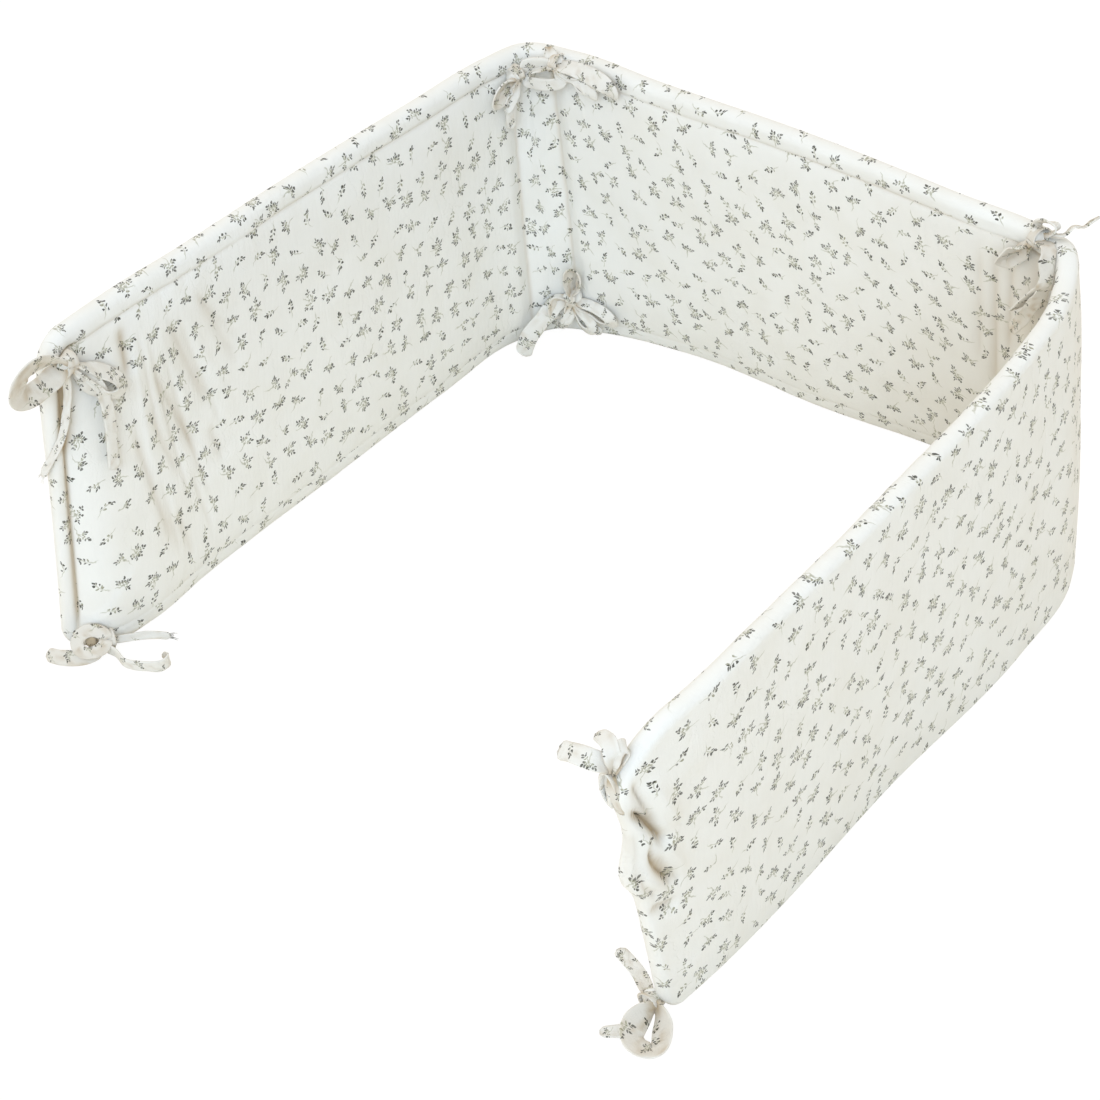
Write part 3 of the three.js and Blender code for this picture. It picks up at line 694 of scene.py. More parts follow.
@dataclass
class PaddedStrip:
    """The stuffed strip with its rolled edge, one closed mesh."""

    shape: PadShape = PadShape()
    node: str = "padded_strip"
    fill: float = 0.5
    rim_steps: tuple[float, ...] = (
        0, 0.6, 1.5, 2.8, 4.4, 6.4, 8.5, 10.6, 12.4, 13.8, 15, 16, 16.5, 17, 18, 19.5, 22, 25, 29,
    )
    row_step: float = 4.6
    plain_step: float = 8.0
    fine_stretches: tuple[tuple[float, float, float], ...] = (
        (36, 220, 2.0),
        (545, 640, 2.8),
        (1064, 1124, 2.6),
        (1145, 1246, 2.8),
        (1730, 1764, 1.7),
    )
    end_step: float = 1.4
    end_reach: float = 36.0
    channel_steps: tuple[float, ...] = (-3.2, -1.6, 0, 1.6, 3.2)
    clear_of_channel: float = 1.2
    least_step: float = 0.45
    chart_gap: float = 2400.0

    def rows(self) -> Array:
        """Heights of the grid's rows."""
        height = self.shape.course.height
        rim = np.array(self.rim_steps, dtype=float)
        count = round((height - 2 * rim[-1]) / self.row_step)
        middle = np.linspace(rim[-1], height - rim[-1], count + 1)[1:-1]
        return np.concatenate([rim, middle, height - rim[::-1]])

    def columns(self) -> Array:
        """Places of the grid's columns: fine at the ends, the folds and the channels, and plain between."""
        length = self.shape.course.length
        round_end = self.shape.roll_radius
        small = [step for step in self.rim_steps if step < round_end]
        ends = np.concatenate([small, np.arange(round_end, self.end_reach, self.end_step)])
        places = [*ends, *(length - ends)]
        start = self.end_reach
        for low, high, step in (*self.fine_stretches, (length - self.end_reach, length - self.end_reach, 1.0)):
            if low > start:
                count = math.ceil((low - start) / self.plain_step)
                places.extend(np.linspace(start, low, count + 1)[:-1])
            if high > low:
                places.extend(np.arange(low, high, step))
            start = high
        places.append(start)
        fixed = [channel + step for channel in self.shape.channels for step in self.channel_steps]
        free = [place for place in places if min(abs(place - other) for other in fixed) > self.clear_of_channel]
        merged = np.sort(np.array([*free, *fixed]))
        keep = np.concatenate([[True], np.diff(merged) > self.least_step])
        return merged[keep]

    def cloth_places(self, along: Array, up: Array, face: Face) -> tuple[Array, Array]:
        """Cloth coordinates on the pad, and on the cover that runs round the roll.

        Args:
            along: Distances from the left end.
            up: Heights on the strip.
            face: The inner or the outer face.

        Returns:
            Coordinates of the flat pad, and of the cover unrolled from the outer face.
        """
        shape = self.shape
        distance, way_along, way_up = shape.rim(along, up)
        inward_of_rim = shape.roll_radius - distance
        turn = np.arcsin(np.clip(inward_of_rim / shape.roll_radius, -1, 1))
        arc = shape.roll_radius * (turn if face is Face.OUTER else math.pi - turn)
        stretch = np.where(inward_of_rim > 0, arc - inward_of_rim, 0.0) if face is Face.OUTER else arc - inward_of_rim
        pad = np.stack([along, up], axis=-1)
        cover = np.stack([along + way_along * stretch + self.chart_gap, up + way_up * stretch], axis=-1)
        return pad, cover

    def build(self) -> bpy.types.Object:
        """The strip's object."""
        shape, height = self.shape, self.shape.course.height
        columns, rows = self.columns(), self.rows()
        side = np.minimum(columns, shape.course.length - columns)
        lowest = shape.drawn_in(np.full_like(side, shape.corner_foot), side)
        highest = height - shape.drawn_in(shape.head_radius(columns), side)
        along = np.repeat(columns[:, None], len(rows), axis=1)
        up = lowest[:, None] + (highest - lowest)[:, None] * (rows / height)
        outer, inner = (shape.points(along, up, face).reshape(-1, 3) for face in (Face.OUTER, Face.INNER))
        # How much shade is painted on each point of both faces.
        painted_shades = [shape.painted_shade(along, up, face).ravel() for face in (Face.OUTER, Face.INNER)]
        # Both faces share the points of the rim, so the inner face leaves its own out.
        size = along.size
        own = np.zeros(along.shape, dtype=bool)
        own[1:-1, 1:-1] = True
        used = np.concatenate([np.ones(size, dtype=bool), own.ravel()])
        fresh = np.cumsum(used) - 1
        number = np.arange(size)
        quads = grid_quads(*along.shape)
        outer_quads = number[quads][:, ::-1]
        inner_quads = np.where(own.ravel(), number + size, number)[quads]
        pad, cover = (chart.reshape(-1, 2)[quads] for chart in self.cloth_places(along, up, Face.INNER))
        on_roll = shape.rim(along, up)[0].ravel()[quads].mean(axis=1) < shape.seam_distance
        inner_corners = np.where(on_roll[:, None, None], cover, pad)
        outer_corners = self.cloth_places(along, up, Face.OUTER)[1].reshape(-1, 2)[quads][:, ::-1]
        sewing = Sewing()
        sewing.add(
            np.concatenate([outer, inner])[used],
            fresh[np.concatenate([outer_quads, inner_quads])],
            np.concatenate([outer_corners, inner_corners]),
            np.concatenate(painted_shades)[used],
        )
        piece = sewing.make(STRIP_PIECE)
        log.info("%s: %d faces", STRIP_PIECE, len(piece.data.polygons))
        return piece

    def dress(self, piece: bpy.types.Object, muslin: bpy.types.Material) -> None:
        """Gives the strip its cloth and sets it in the frame."""
        set_in_frame(piece, self.node, muslin)


# ----------------------------------------------------------------------------------------------------
# The ties
# ----------------------------------------------------------------------------------------------------


class Run(Enum):
    """How a run of strap ends."""

    LOOP = "gathered at both ends"
    TAIL = "gathered at its knot and free at the other end"
    BAND = "flat throughout"


@dataclass(frozen=True)
class Knot:
    """A knot: its place and half sizes, each onward, inward and up from its tie's root, in mm."""

    at: Triple
    size: Triple
    # Shade painted over the whole knot; a knot with any stands for the shade in a hole and holds no strap.
    painted_shade: float = 0.0


@dataclass(frozen=True)
class Loop:
    """A strap that leaves its knot, turns round and comes back, as broad as its across says."""

    start: Triple
    reach: Triple
    across: Triple
    cone: float
    width: float = 1.0
    ring: bool = False


@dataclass(frozen=True)
class Tail:
    """A strap that runs through its bends to a free end, with its width along its side."""

    bends: tuple[Triple, ...]
    side: Triple
    width: float = 1.0
    frayed: bool = False


@dataclass(frozen=True)
class Tie:
    """One tied pair of straps, with its root on the strip."""

    name: str
    along: float
    up: float
    knots: tuple[Knot, ...]
    loops: tuple[Loop, ...]
    tails: tuple[Tail, ...]


TIES = (
    Tie(
        "tie_left_end_top", 12, 278,
        (Knot((6, 15, -3), (8, 7, 8)),),
        (
            Loop((5, 15, -2), (-59, 4, 9), (3, 1, 26), 0.93, 1.75),
            Loop((8, 16, -3), (43, 6, -44), (13, 1, 8), 0.78, 1.25),
        ),
        (
            Tail(((8, 17, -4), (28, 22, -26), (38, 21, -53), (42, 18, -112)), (1, 0, 0.3)),
            Tail(
                (
                    (4, 15, -6), (6, 14, -22), (5, 12, -47), (0, 12, -66), (-9, 9, -82), (-18, 0, -104),
                ),
                (0.4, 1, 0.2), 0.72, frayed=True,
            ),
        ),
    ),
    Tie(
        "tie_left_end_base", 18, 10,
        # The second knot is a dark ball of painted shade in the hole of the ring loop.
        (Knot((21, 15, 3), (6, 7, 7)), Knot((11, 16, 5), (5.5, 3, 5.5), painted_shade=1.0)),
        (Loop((19.8, 20.8, 8.8), (-17.6, 0.5, 0.5), (0, -11.4, 13.3), 1.0, 0.98, ring=True),),
        (
            Tail(((20, 15, 0), (9, 23, -4), (-9, 26, -4), (-25, 23, -4)), (0, -0.65, 0.76), 1.2),
            Tail(((19, 13, 2), (31, 15, 0), (46, 20, -3), (61, 36, -5)), (0, -0.4, 1), 0.66, frayed=True),
            Tail(
                (
                    (16, 13, 0), (24, 26, -2), (27, 41, -3), (34, 54, -3), (40, 62, -3), (45, 60, -3),
                    (44, 52, -3),
                ),
                (0, 0, 1),
            ),
        ),
    ),
    Tie(
        "tie_left_corner_top", 597, 262,
        (Knot((-33, 11, 16), (7, 9, 7)), Knot((33, 12, 30), (7, 8, 6))),
        (
            Loop((-34, 16, 16), (-31, 4, -9), (2, 1, 12), 0.85, 1.1),
            Loop((-33, 17, 15), (-18, 5, -19), (6, 1, 6), 0.8, 0.9),
            Loop((33, 16, 28), (-22, 6, -17), (46, 2, 2), 0.85),
            Loop((33, 15, 30), (72, 3, -7), (0, 1, 12), 0.88, 1.35),
            Loop((32, 16, 28), (50, 5, -14), (2, 1, 9), 0.8, 1.0),
        ),
        (
            Tail(((-34, 16, 14), (-42, 19, 1), (-46, 19, -12), (-48, 20, -27)), (1, 0.2, 0), 0.85),
            Tail(((-32, 16, 18), (-4, 18, 25), (31, 16, 30)), (0, 0.2, 1), 1.15),
            Tail(((20, 3.5, 37), (26, 9, 35), (30, 13, 32), (33, 16, 28)), (1, 0, 0)),
        ),
    ),
    Tie(
        "tie_left_corner_base", 597, 14,
        (Knot((22, 13, 31), (9, 10, 8)),),
        (
            Loop((22, 17, 32), (8, 3, 34), (12, 0, -2), 0.6),
            Loop((23, 17, 31), (42, 3, -18), (4, 1, 12), 0.7),
            Loop((20, 17, 29), (-30, 5, -8), (0, 1, 15), 0.85),
            Loop((22, 18, 28), (-14, 6, -22), (14, 2, 4), 0.75, 0.9),
            Loop((23, 18, 27), (18, 6, -24), (12, 2, 6), 0.75, 0.9),
        ),
        (
            Tail(((20, 17, 31), (-6, 20, 24), (-28, 21, 12), (-45, 22, 0), (-61, 34, -8)), (0.55, 0.54, -0.63), 1.5),
            Tail(((23, 18, 29), (31, 20, 16), (40, 20, 6), (51, 19, -2)), (0.8, 0, 0.6)),
        ),
    ),
    Tie(
        "tie_right_corner_top", 1150, 276,
        (Knot((-8, 7, 20), (9, 8, 8)),),
        (
            Loop((-9, 5, 20), (12, -3, 15), (26, -4, -2), 0.4, 0.75),
            Loop((-9, 11, 17), (-30, 8, -22), (12, 2, 18), 0.85, 1.3),
        ),
        (
            Tail(
                (
                    (-5, 6, 22), (8, 1, 24), (16, -4, 25), (19, -11, 31), (20, -17, 29), (21, -23, 33),
                    (22, -29, 36),
                ),
                (1, 0, 0.6), 0.7, frayed=True,
            ),
            Tail(
                (
                    (-6, 9, 19), (14, 10, 19), (34, 11, 19), (48, 10, 13), (55, 14, 0), (37, 22, -17),
                    (12, 27, -32), (-6, 28, -43),
                ),
                (0.3, 1, 0.3), 1.15,
            ),
            Tail(((54, 13, 2), (42, 20, -20), (16, 27, -45), (-10, 29, -66)), (0.5, 0, 1)),
        ),
    ),
    Tie(
        "tie_right_corner_base", 1205, 14,
        (Knot((0, 11, 4), (8, 10, 7)),),
        (Loop((0, 17, 5), (-36, 4, 4), (0, 2, 16), 0.7),),
        (
            Tail(((2, 17, 3), (16, 18, -4), (34, 18, -8), (54, 18, -9)), (0, 1, 0.2)),
            Tail(((0, 18, 2), (-8, 25, -5), (-22, 32, -9), (-38, 36, -10)), (0.6, 1, 0)),
        ),
    ),
    Tie(
        "tie_right_end_top", 1792, 262,
        (Knot((4, 4, -7), (6, 6, 17)),),
        (Loop((3, 2, 10), (-8, -2, 20), (7, 0, 5), 0.4, 0.9),),
        (
            Tail(((4, 2, 8), (6, 0, 0), (7, -2, -10), (6, -4, -24)), (0.4, 1, 0), 0.9),
            Tail(((4, 4, 10), (6, 7, 19), (9, 15, 22), (11, 26, 21), (12, 38, 16)), (0.7, -0.2, -0.5), 1.2),
            Tail(((3, 2, 13), (2, 1, 29), (-1, 8, 33), (-3, 21, 29)), (0.7, 0.3, -0.3)),
        ),
    ),
    Tie(
        "tie_right_end_base", 1794, 14,
        (Knot((9, 5, -4), (8, 7, 8)),),
        (Loop((9, -1, -3), (38, -16, -6), (7, 21, 3), 0.72, 1.8),),
        (
            Tail(((7, 8, -5), (1, 18, -8), (-6, 31, -10), (-14, 58, -11)), (1, 0.4, 0)),
            Tail(((36, -4, -11), (46, 8, -11.5), (56, 17, -11.5)), (1, -1, 0)),
        ),
    ),
)


def smooth_run(bends: Array, step: float, fewest: int = 8, samples: int = 40) -> Array:
    """Evenly spaced points on a centripetal curve through bends.

    Args:
        bends: The points that the curve passes.
        step: Distance between the points.
        fewest: The least number of steps.
        samples: How finely the curve is measured between two bends.

    Returns:
        The points from the first bend to the last.
    """
    ends = np.concatenate([[2 * bends[0] - bends[1]], bends, [2 * bends[-1] - bends[-2]]])
    t = np.linspace(0, 1, samples, endpoint=False)[:, None]
    dense = []
    for i in range(len(bends) - 1):
        p0, p1, p2, p3 = ends[i : i + 4]
        d0, d1, d2 = (math.sqrt(float(np.linalg.norm(b - a))) for a, b in ((p0, p1), (p1, p2), (p2, p3)))
        m1 = ((p1 - p0) / d0 - (p2 - p0) / (d0 + d1) + (p2 - p1) / d1) * d1
        m2 = ((p2 - p1) / d1 - (p3 - p1) / (d1 + d2) + (p3 - p2) / d2) * d1
        c2, c3 = -3 * p1 + 3 * p2 - 2 * m1 - m2, 2 * p1 - 2 * p2 + m1 + m2
        dense.append(p1 + m1 * t + c2 * t**2 + c3 * t**3)
    dense.append(ends[-2:-1])
    path = np.concatenate(dense)
    run = run_lengths(path)
    even = np.linspace(0, run[-1], max(int(run[-1] / step), fewest) + 1)
    return np.stack([np.interp(even, run, path[:, axis]) for axis in range(3)], axis=1)


@dataclass
class TiedStraps:
    """One tied pair of straps: flat fabric straps, gathered at their knot, in mm.

    The creases' place across a strap and the waves' depths are shares of its width.
    """

    tie: Tie
    shape: PadShape
    strap_width: float = 11.0
    strap_thickness: float = 1.7
    step: float = 2.2
    gather_reach: float = 13.0
    gathered: float = 0.5
    tip_reach: float = 5.5
    tip_width: float = 0.3
    width_wave: float = 0.09
    width_wave_size: float = 13.0
    gather_thickening: float = 1.1
    crease: float = 0.45
    gathered_crease: float = 1.0
    crease_size: float = 1.7
    crease_spread: Pair = (4.0, 0.3)
    cup: float = 0.9
    cup_size: float = 34.0
    # Shade painted on the straps: a base amount, and more where they are gathered, on their undersides and in their
    # creases.
    shade: float = 0.27
    gathered_shade: float = 0.6
    under_shade: float = 0.25
    crease_shade: float = 0.4
    loop_middle: float = 0.55
    fewest_steps: int = 14
    band_share: float = 0.9
    print_gather: float = 1.5
    print_shift: float = 100.0
    clearance: float = 0.35
    threads: int = 9
    thread_radius: float = 0.28
    thread_length: Pair = (3.5, 8.0)
    thread_spread: float = 0.55
    thread_lean: float = 0.3
    thread_sag: Pair = (0.2, 1.6)
    thread_root: float = 1.5
    thread_floor: float = 0.4
    thread_shade: float = 0.3
    knot_rings: tuple[int, int] = (22, 30)
    knot_pole: float = 0.06
    knot_size: float = 0.94
    knot_turns: float = 3.4
    knot_lumps: Pair = (0.13, 0.07)
    section: tuple[tuple[float, float], ...] = (
        (-1, 0), (-0.965, 0.75), (-0.86, 1), (-0.5, 0.86), (0, 0.8), (0.5, 0.86), (0.86, 1), (0.965, 0.75),
        (1, 0), (0.965, -0.75), (0.86, -1), (0.5, -0.86), (0, -0.8), (-0.5, -0.86), (-0.86, -1), (-0.965, -0.75),
    )

    def place(self, steps: Array) -> Array:
        """Points that steps lead to from the tie's root."""
        return self.shape.place(self.tie.along + steps[:, 0], steps[:, 1], self.tie.up + steps[:, 2])

    def headings(self, steps: Array, headings: Array) -> Array:
        """Directions near the strip as directions in space."""
        onward, inward = self.shape.course.directions(self.tie.along + steps[:, 0], self.tie.up + steps[:, 2])
        return onward * headings[:, 0:1] + inward * headings[:, 1:2] + UPWARD * headings[:, 2:3]

    def strap(self, sewing: Sewing, steps: Array, sides: Array, kind: Run, seed: int, share: float = 1.0) -> float:
        """Adds a strap along a run of steps.

        Args:
            sewing: The mesh that it goes into.
            steps: The run, from the tie's root.
            sides: Direction of the strap's width at each step.
            kind: Which of its ends are gathered.
            seed: Number that picks its small creases.
            share: Its width as a share of a flat strap's.

        Returns:
            The strap's length, in mm.
        """
        points = self.place(steps)
        tangent = unit(np.gradient(points, axis=0))
        width = self.headings(steps, sides)
        width = unit(width - tangent * np.sum(width * tangent, axis=1, keepdims=True))
        normal = np.cross(tangent, width)
        run = run_lengths(points)
        reach = min(self.gather_reach, run[-1] / 2)
        open_share = smooth_step(run / reach) if kind is not Run.BAND else np.ones_like(run)
        if kind is Run.LOOP:
            open_share = open_share * smooth_step((run[-1] - run) / reach)
        gather = self.gathered + (1 - self.gathered) * open_share
        if kind is Run.TAIL:
            short = 1.0 - np.clip((run[-1] - run) / self.tip_reach, 0.0, 1.0)
            gather = gather * (self.tip_width + (1 - self.tip_width) * np.sqrt(1.0 - short**2))
        wave = self.width_wave * soft_noise(run, 0.0, self.width_wave_size, seed)
        wide = self.strap_width / 2 * share * gather * (1 + wave)
        thick = self.strap_thickness / 2 * (1 + self.gather_thickening * (1 - open_share))
        section = np.array(self.section)
        across, out = section[None, :, 0], section[None, :, 1]
        spread_across, spread_along = self.crease_spread
        crease = soft_noise(across * spread_across, run[:, None] * spread_along, self.crease_size, seed + 1)
        cup = self.cup * soft_noise(run, 0.0, self.cup_size, seed + 2)[:, None] * (across**2 - 0.4)
        rumple = crease * (self.crease + self.gathered_crease * (1 - open_share))[:, None]
        lift = out * thick[:, None] + rumple + cup
        ring = points[:, None] + width[:, None] * (across * wide[:, None])[..., None]
        ring = ring + normal[:, None] * lift[..., None]
        if kind is not Run.BAND:
            ring = self.rest_on_pad(ring, steps)
        corners = np.stack(np.broadcast_arrays(across * self.strap_width / 2, run[:, None]), axis=-1)
        # Shade painted on the strap, darker where it is gathered, on its underside and in its creases.
        painted_shade = self.shade + self.gathered_shade * (1 - open_share)[:, None] + self.under_shade * (out < 0)
        painted_shade = np.clip(painted_shade + self.crease_shade * np.clip(-crease, 0, 1), 0.0, 1.0)
        self.skin(sewing, ring, corners * self.print_gather + self.print_shift * seed, painted_shade)
        return float(run[-1])

    def fray(self, sewing: Sewing, steps: Array, side: Triple, share: float, seed: int) -> None:
        """Adds loose threads at a strap's cut end.

        Args:
            sewing: The mesh that they go into.
            steps: The strap's run.
            side: Direction of the strap's width.
            share: Its width as a share of a flat strap's.
            seed: Number that picks how the threads lie.
        """
        dice = np.random.default_rng(seed)
        ends = self.place(steps[-2:])
        tangent = unit(ends[1] - ends[0])
        width = self.headings(steps[-1:], np.array([side], dtype=float))[0]
        width = unit(width - tangent * float(width @ tangent))
        normal = np.cross(tangent, width)
        turn = np.arange(4) * math.pi / 2
        t = np.linspace(0, 1, 5)[:, None]
        for across in np.linspace(-self.thread_spread, self.thread_spread, self.threads):
            root = ends[1] - tangent * self.thread_root + width * across * self.strap_width / 2 * share
            sideways = across * 0.5 + dice.uniform(-self.thread_lean, self.thread_lean)
            lean = tangent + width * sideways + normal * dice.uniform(-self.thread_lean, self.thread_lean)
            sag = -UPWARD * dice.uniform(*self.thread_sag)
            path = root + unit(lean) * t * dice.uniform(*self.thread_length) + sag * t**2
            path[:, 2] = np.maximum(path[:, 2], self.thread_floor)
            thick = self.thread_radius * (1 - 0.5 * t)
            circle = width * np.cos(turn)[:, None] - normal * np.sin(turn)[:, None]
            ring = path[:, None] + circle[None] * thick[:, :, None]
            corners = np.zeros((*ring.shape[:2], 2)) + 4.0 * seed
            self.skin(sewing, ring, corners, np.full(ring.shape[:2], self.thread_shade))

    def rest_on_pad(self, ring: Array, steps: Array) -> Array:
        """Moves a strap's rings out of the pad, each upper point with the lower one under it."""
        guess = [np.repeat(values[:, None], ring.shape[1], 1) for values in steps.T]
        places = self.shape.coordinates(ring, self.tie.along + guess[0], guess[1], self.tie.up + guess[2])
        move = self.shape.push_out(*places, self.clearance)
        count = ring.shape[1]
        other = move[:, (count // 2 - np.arange(count)) % count]
        longer = np.linalg.norm(other, axis=-1, keepdims=True) > np.linalg.norm(move, axis=-1, keepdims=True)
        return ring + np.where(longer, other, move)

    def skin(self, sewing: Sewing, ring: Array, corners: Array, painted_shade: Array) -> None:
        """Adds the closed skin over a run of rings."""
        count, around = ring.shape[:2]
        i, k = np.meshgrid(np.arange(count - 1), np.arange(around), indexing="ij")
        i, k = i.ravel(), k.ravel()
        after = (k + 1) % around
        quads = np.stack([i * around + k, i * around + after, (i + 1) * around + after, (i + 1) * around + k], axis=1)
        flat = corners.reshape(-1, 2)
        caps = []
        half = around // 2
        for row, turn in ((0, 1), (count - 1, -1)):
            for k0 in range(half - 1):
                cap = [k0, k0 + 1, around - 2 - k0, around - 1 - k0]
                caps.append([row * around + number for number in cap[:: -turn]])
        quads = np.concatenate([quads, np.array(caps)])[:, ::-1]
        sewing.add(ring, quads, flat[quads], painted_shade)

    def loop(self, sewing: Sewing, loop: Loop, seed: int) -> float:
        """Adds a loop and returns its length."""
        start, reach, across = (np.array(value, dtype=float) for value in (loop.start, loop.reach, loop.across))
        axis = unit(np.cross(reach, across))
        middle = start + reach * self.loop_middle
        size = 2 * float(np.linalg.norm(reach)) + float(np.linalg.norm(across))
        turn = np.linspace(0, 1, max(int(size / self.step), self.fewest_steps) + 1)[:, None]
        out = np.maximum(np.sin(math.pi * turn), 0.0)
        lean = loop.cone * math.pi / 2 * np.sqrt(out)
        if loop.ring:
            out = (1 - np.cos(2 * math.pi * turn)) / 2
            middle = start + reach * 0.5
            lean = np.full_like(out, loop.cone * math.pi / 2)
        steps = start + reach * out + across * np.sin(2 * math.pi * turn) / 2
        radial = unit(steps - middle)
        sides = axis * np.cos(lean) + radial * np.sin(lean)
        return self.strap(sewing, steps, sides, Run.BAND if loop.ring else Run.LOOP, seed, loop.width)

    def knot(self, sewing: Sewing, knot: Knot, seed: int) -> float:
        """Adds a knot, a ball of tightly drawn strap with shade painted in its dips, and returns the length of strap in
        it; a knot with its own painted shade is a dark ball that stands for shade in a hole and holds no strap.
        """
        rings, around = self.knot_rings
        turn = np.linspace(0, 2 * math.pi, around, endpoint=False)[None, :]
        tilt = np.linspace(self.knot_pole, math.pi - self.knot_pole, rings)[:, None]
        x, y, z = np.sin(tilt) * np.cos(turn), np.cos(tilt) + 0 * turn, np.sin(tilt) * np.sin(turn)
        spiral = np.sin(2 * turn + self.knot_turns * np.cos(tilt) + seed)
        wound, rough = self.knot_lumps
        lump = 1 + wound * np.sign(spiral) * np.abs(spiral) ** 0.6 + rough * soft_noise(x * 3, z * 3 + y * 2, 1.0, seed)
        at, size = np.array(knot.at, dtype=float)[None], np.array(knot.size)
        offsets = np.stack([x, y, z], axis=-1) * (lump * self.knot_size)[..., None] * size
        flat = offsets.reshape(-1, 3)
        points = self.place(at) + self.headings(np.repeat(at, len(flat), 0), flat)
        corners = np.stack([turn * 6 + 0 * tilt, 12 * tilt + 0 * turn], axis=-1) + 60.0 * seed
        # Shade painted in the knot's dips, plus the knot's own painted shade.
        painted_shade = np.clip(0.35 - 0.9 * (lump - 1), 0.0, 0.5) + knot.painted_shade
        self.skin(sewing, points.reshape(rings, around, 3), corners, np.minimum(painted_shade, 1.0))
        if knot.painted_shade > 0:
            return 0.0
        turn = np.linspace(0, 2 * math.pi, around)[:, None]
        steps = at + np.cos(turn) * [[0.15 * size[0], size[1], 0]] + np.sin(turn) * [[0, 0, size[2]]]
        sides = np.repeat([[1.0, 0.0, 0.35]], len(steps), 0)
        return self.strap(sewing, steps, sides, Run.BAND, seed + 5, self.band_share)

    def build(self) -> tuple[bpy.types.Object, tuple[float, float]]:
        """The tie's object, and the mean width and the length of its straps laid flat, in mm."""
        sewing = Sewing()
        seed = sum(ord(letter) for letter in self.tie.name) % 97
        runs: list[tuple[float, float]] = []
        for i, knot in enumerate(self.tie.knots):
            runs.append((self.knot(sewing, knot, seed + i), self.band_share))
        for i, loop in enumerate(self.tie.loops):
            runs.append((self.loop(sewing, loop, seed + 10 + i), loop.width))
        for i, tail in enumerate(self.tie.tails):
            steps = smooth_run(np.array(tail.bends, dtype=float), self.step)
            sides = np.tile(np.array(tail.side, dtype=float), (len(steps), 1))
            runs.append((self.strap(sewing, steps, sides, Run.TAIL, seed + 20 + i, tail.width), tail.width))
            if tail.frayed:
                self.fray(sewing, steps, tail.side, tail.width, seed + 30 + i)
        piece = sewing.make(self.tie.name + "_muslin")
        length = sum(run for run, _ in runs)
        width = self.strap_width * sum(run * share for run, share in runs) / length
        log.info("%s: %d faces, %.0f by %.1f mm of strap", piece.name, len(piece.data.polygons), length, width)
        return piece, (width, length)

    def dress(self, piece: bpy.types.Object, flat: tuple[float, float], muslin: bpy.types.Material) -> None:
        """Gives the tie its cloth and sets it in the frame."""
        set_in_frame(piece, self.tie.name, muslin)
        flat[0] * MM
        flat[1] * MM


# ----------------------------------------------------------------------------------------------------
# Cloth
# ----------------------------------------------------------------------------------------------------


class Wire:
    """A node's output that takes part in sums, products and comparisons."""

    def __init__(self, board: Board, socket: bpy.types.NodeSocket) -> None:
        """Keeps the socket and the board that it is on."""
        self.board = board
        self.socket = socket

    def __add__(self, other: Wire | float) -> Wire:
        """Their sum."""
        return self.board.math("ADD", self, other)

    def __sub__(self, other: Wire | float) -> Wire:
        """Their difference."""
        return self.board.math("SUBTRACT", self, other)

    def __rsub__(self, other: float) -> Wire:
        """A number less this."""
        return self.board.math("SUBTRACT", other, self)

    def __mul__(self, other: Wire | float) -> Wire:
        """Their product."""
        return self.board.math("MULTIPLY", self, other)

    def __truediv__(self, other: Wire | float) -> Wire:
        """Their quotient."""
        return self.board.math("DIVIDE", self, other)

    def __lt__(self, other: Wire | float) -> Wire:
        """1 where this is less."""
        return self.board.math("LESS_THAN", self, other)

    def __gt__(self, other: Wire | float) -> Wire:
        """1 where this is more."""
        return self.board.math("GREATER_THAN", self, other)

    def __abs__(self) -> Wire:
        """Its size without its sign."""
        return self.board.math("ABSOLUTE", self)

    __radd__ = __add__
    __rmul__ = __mul__


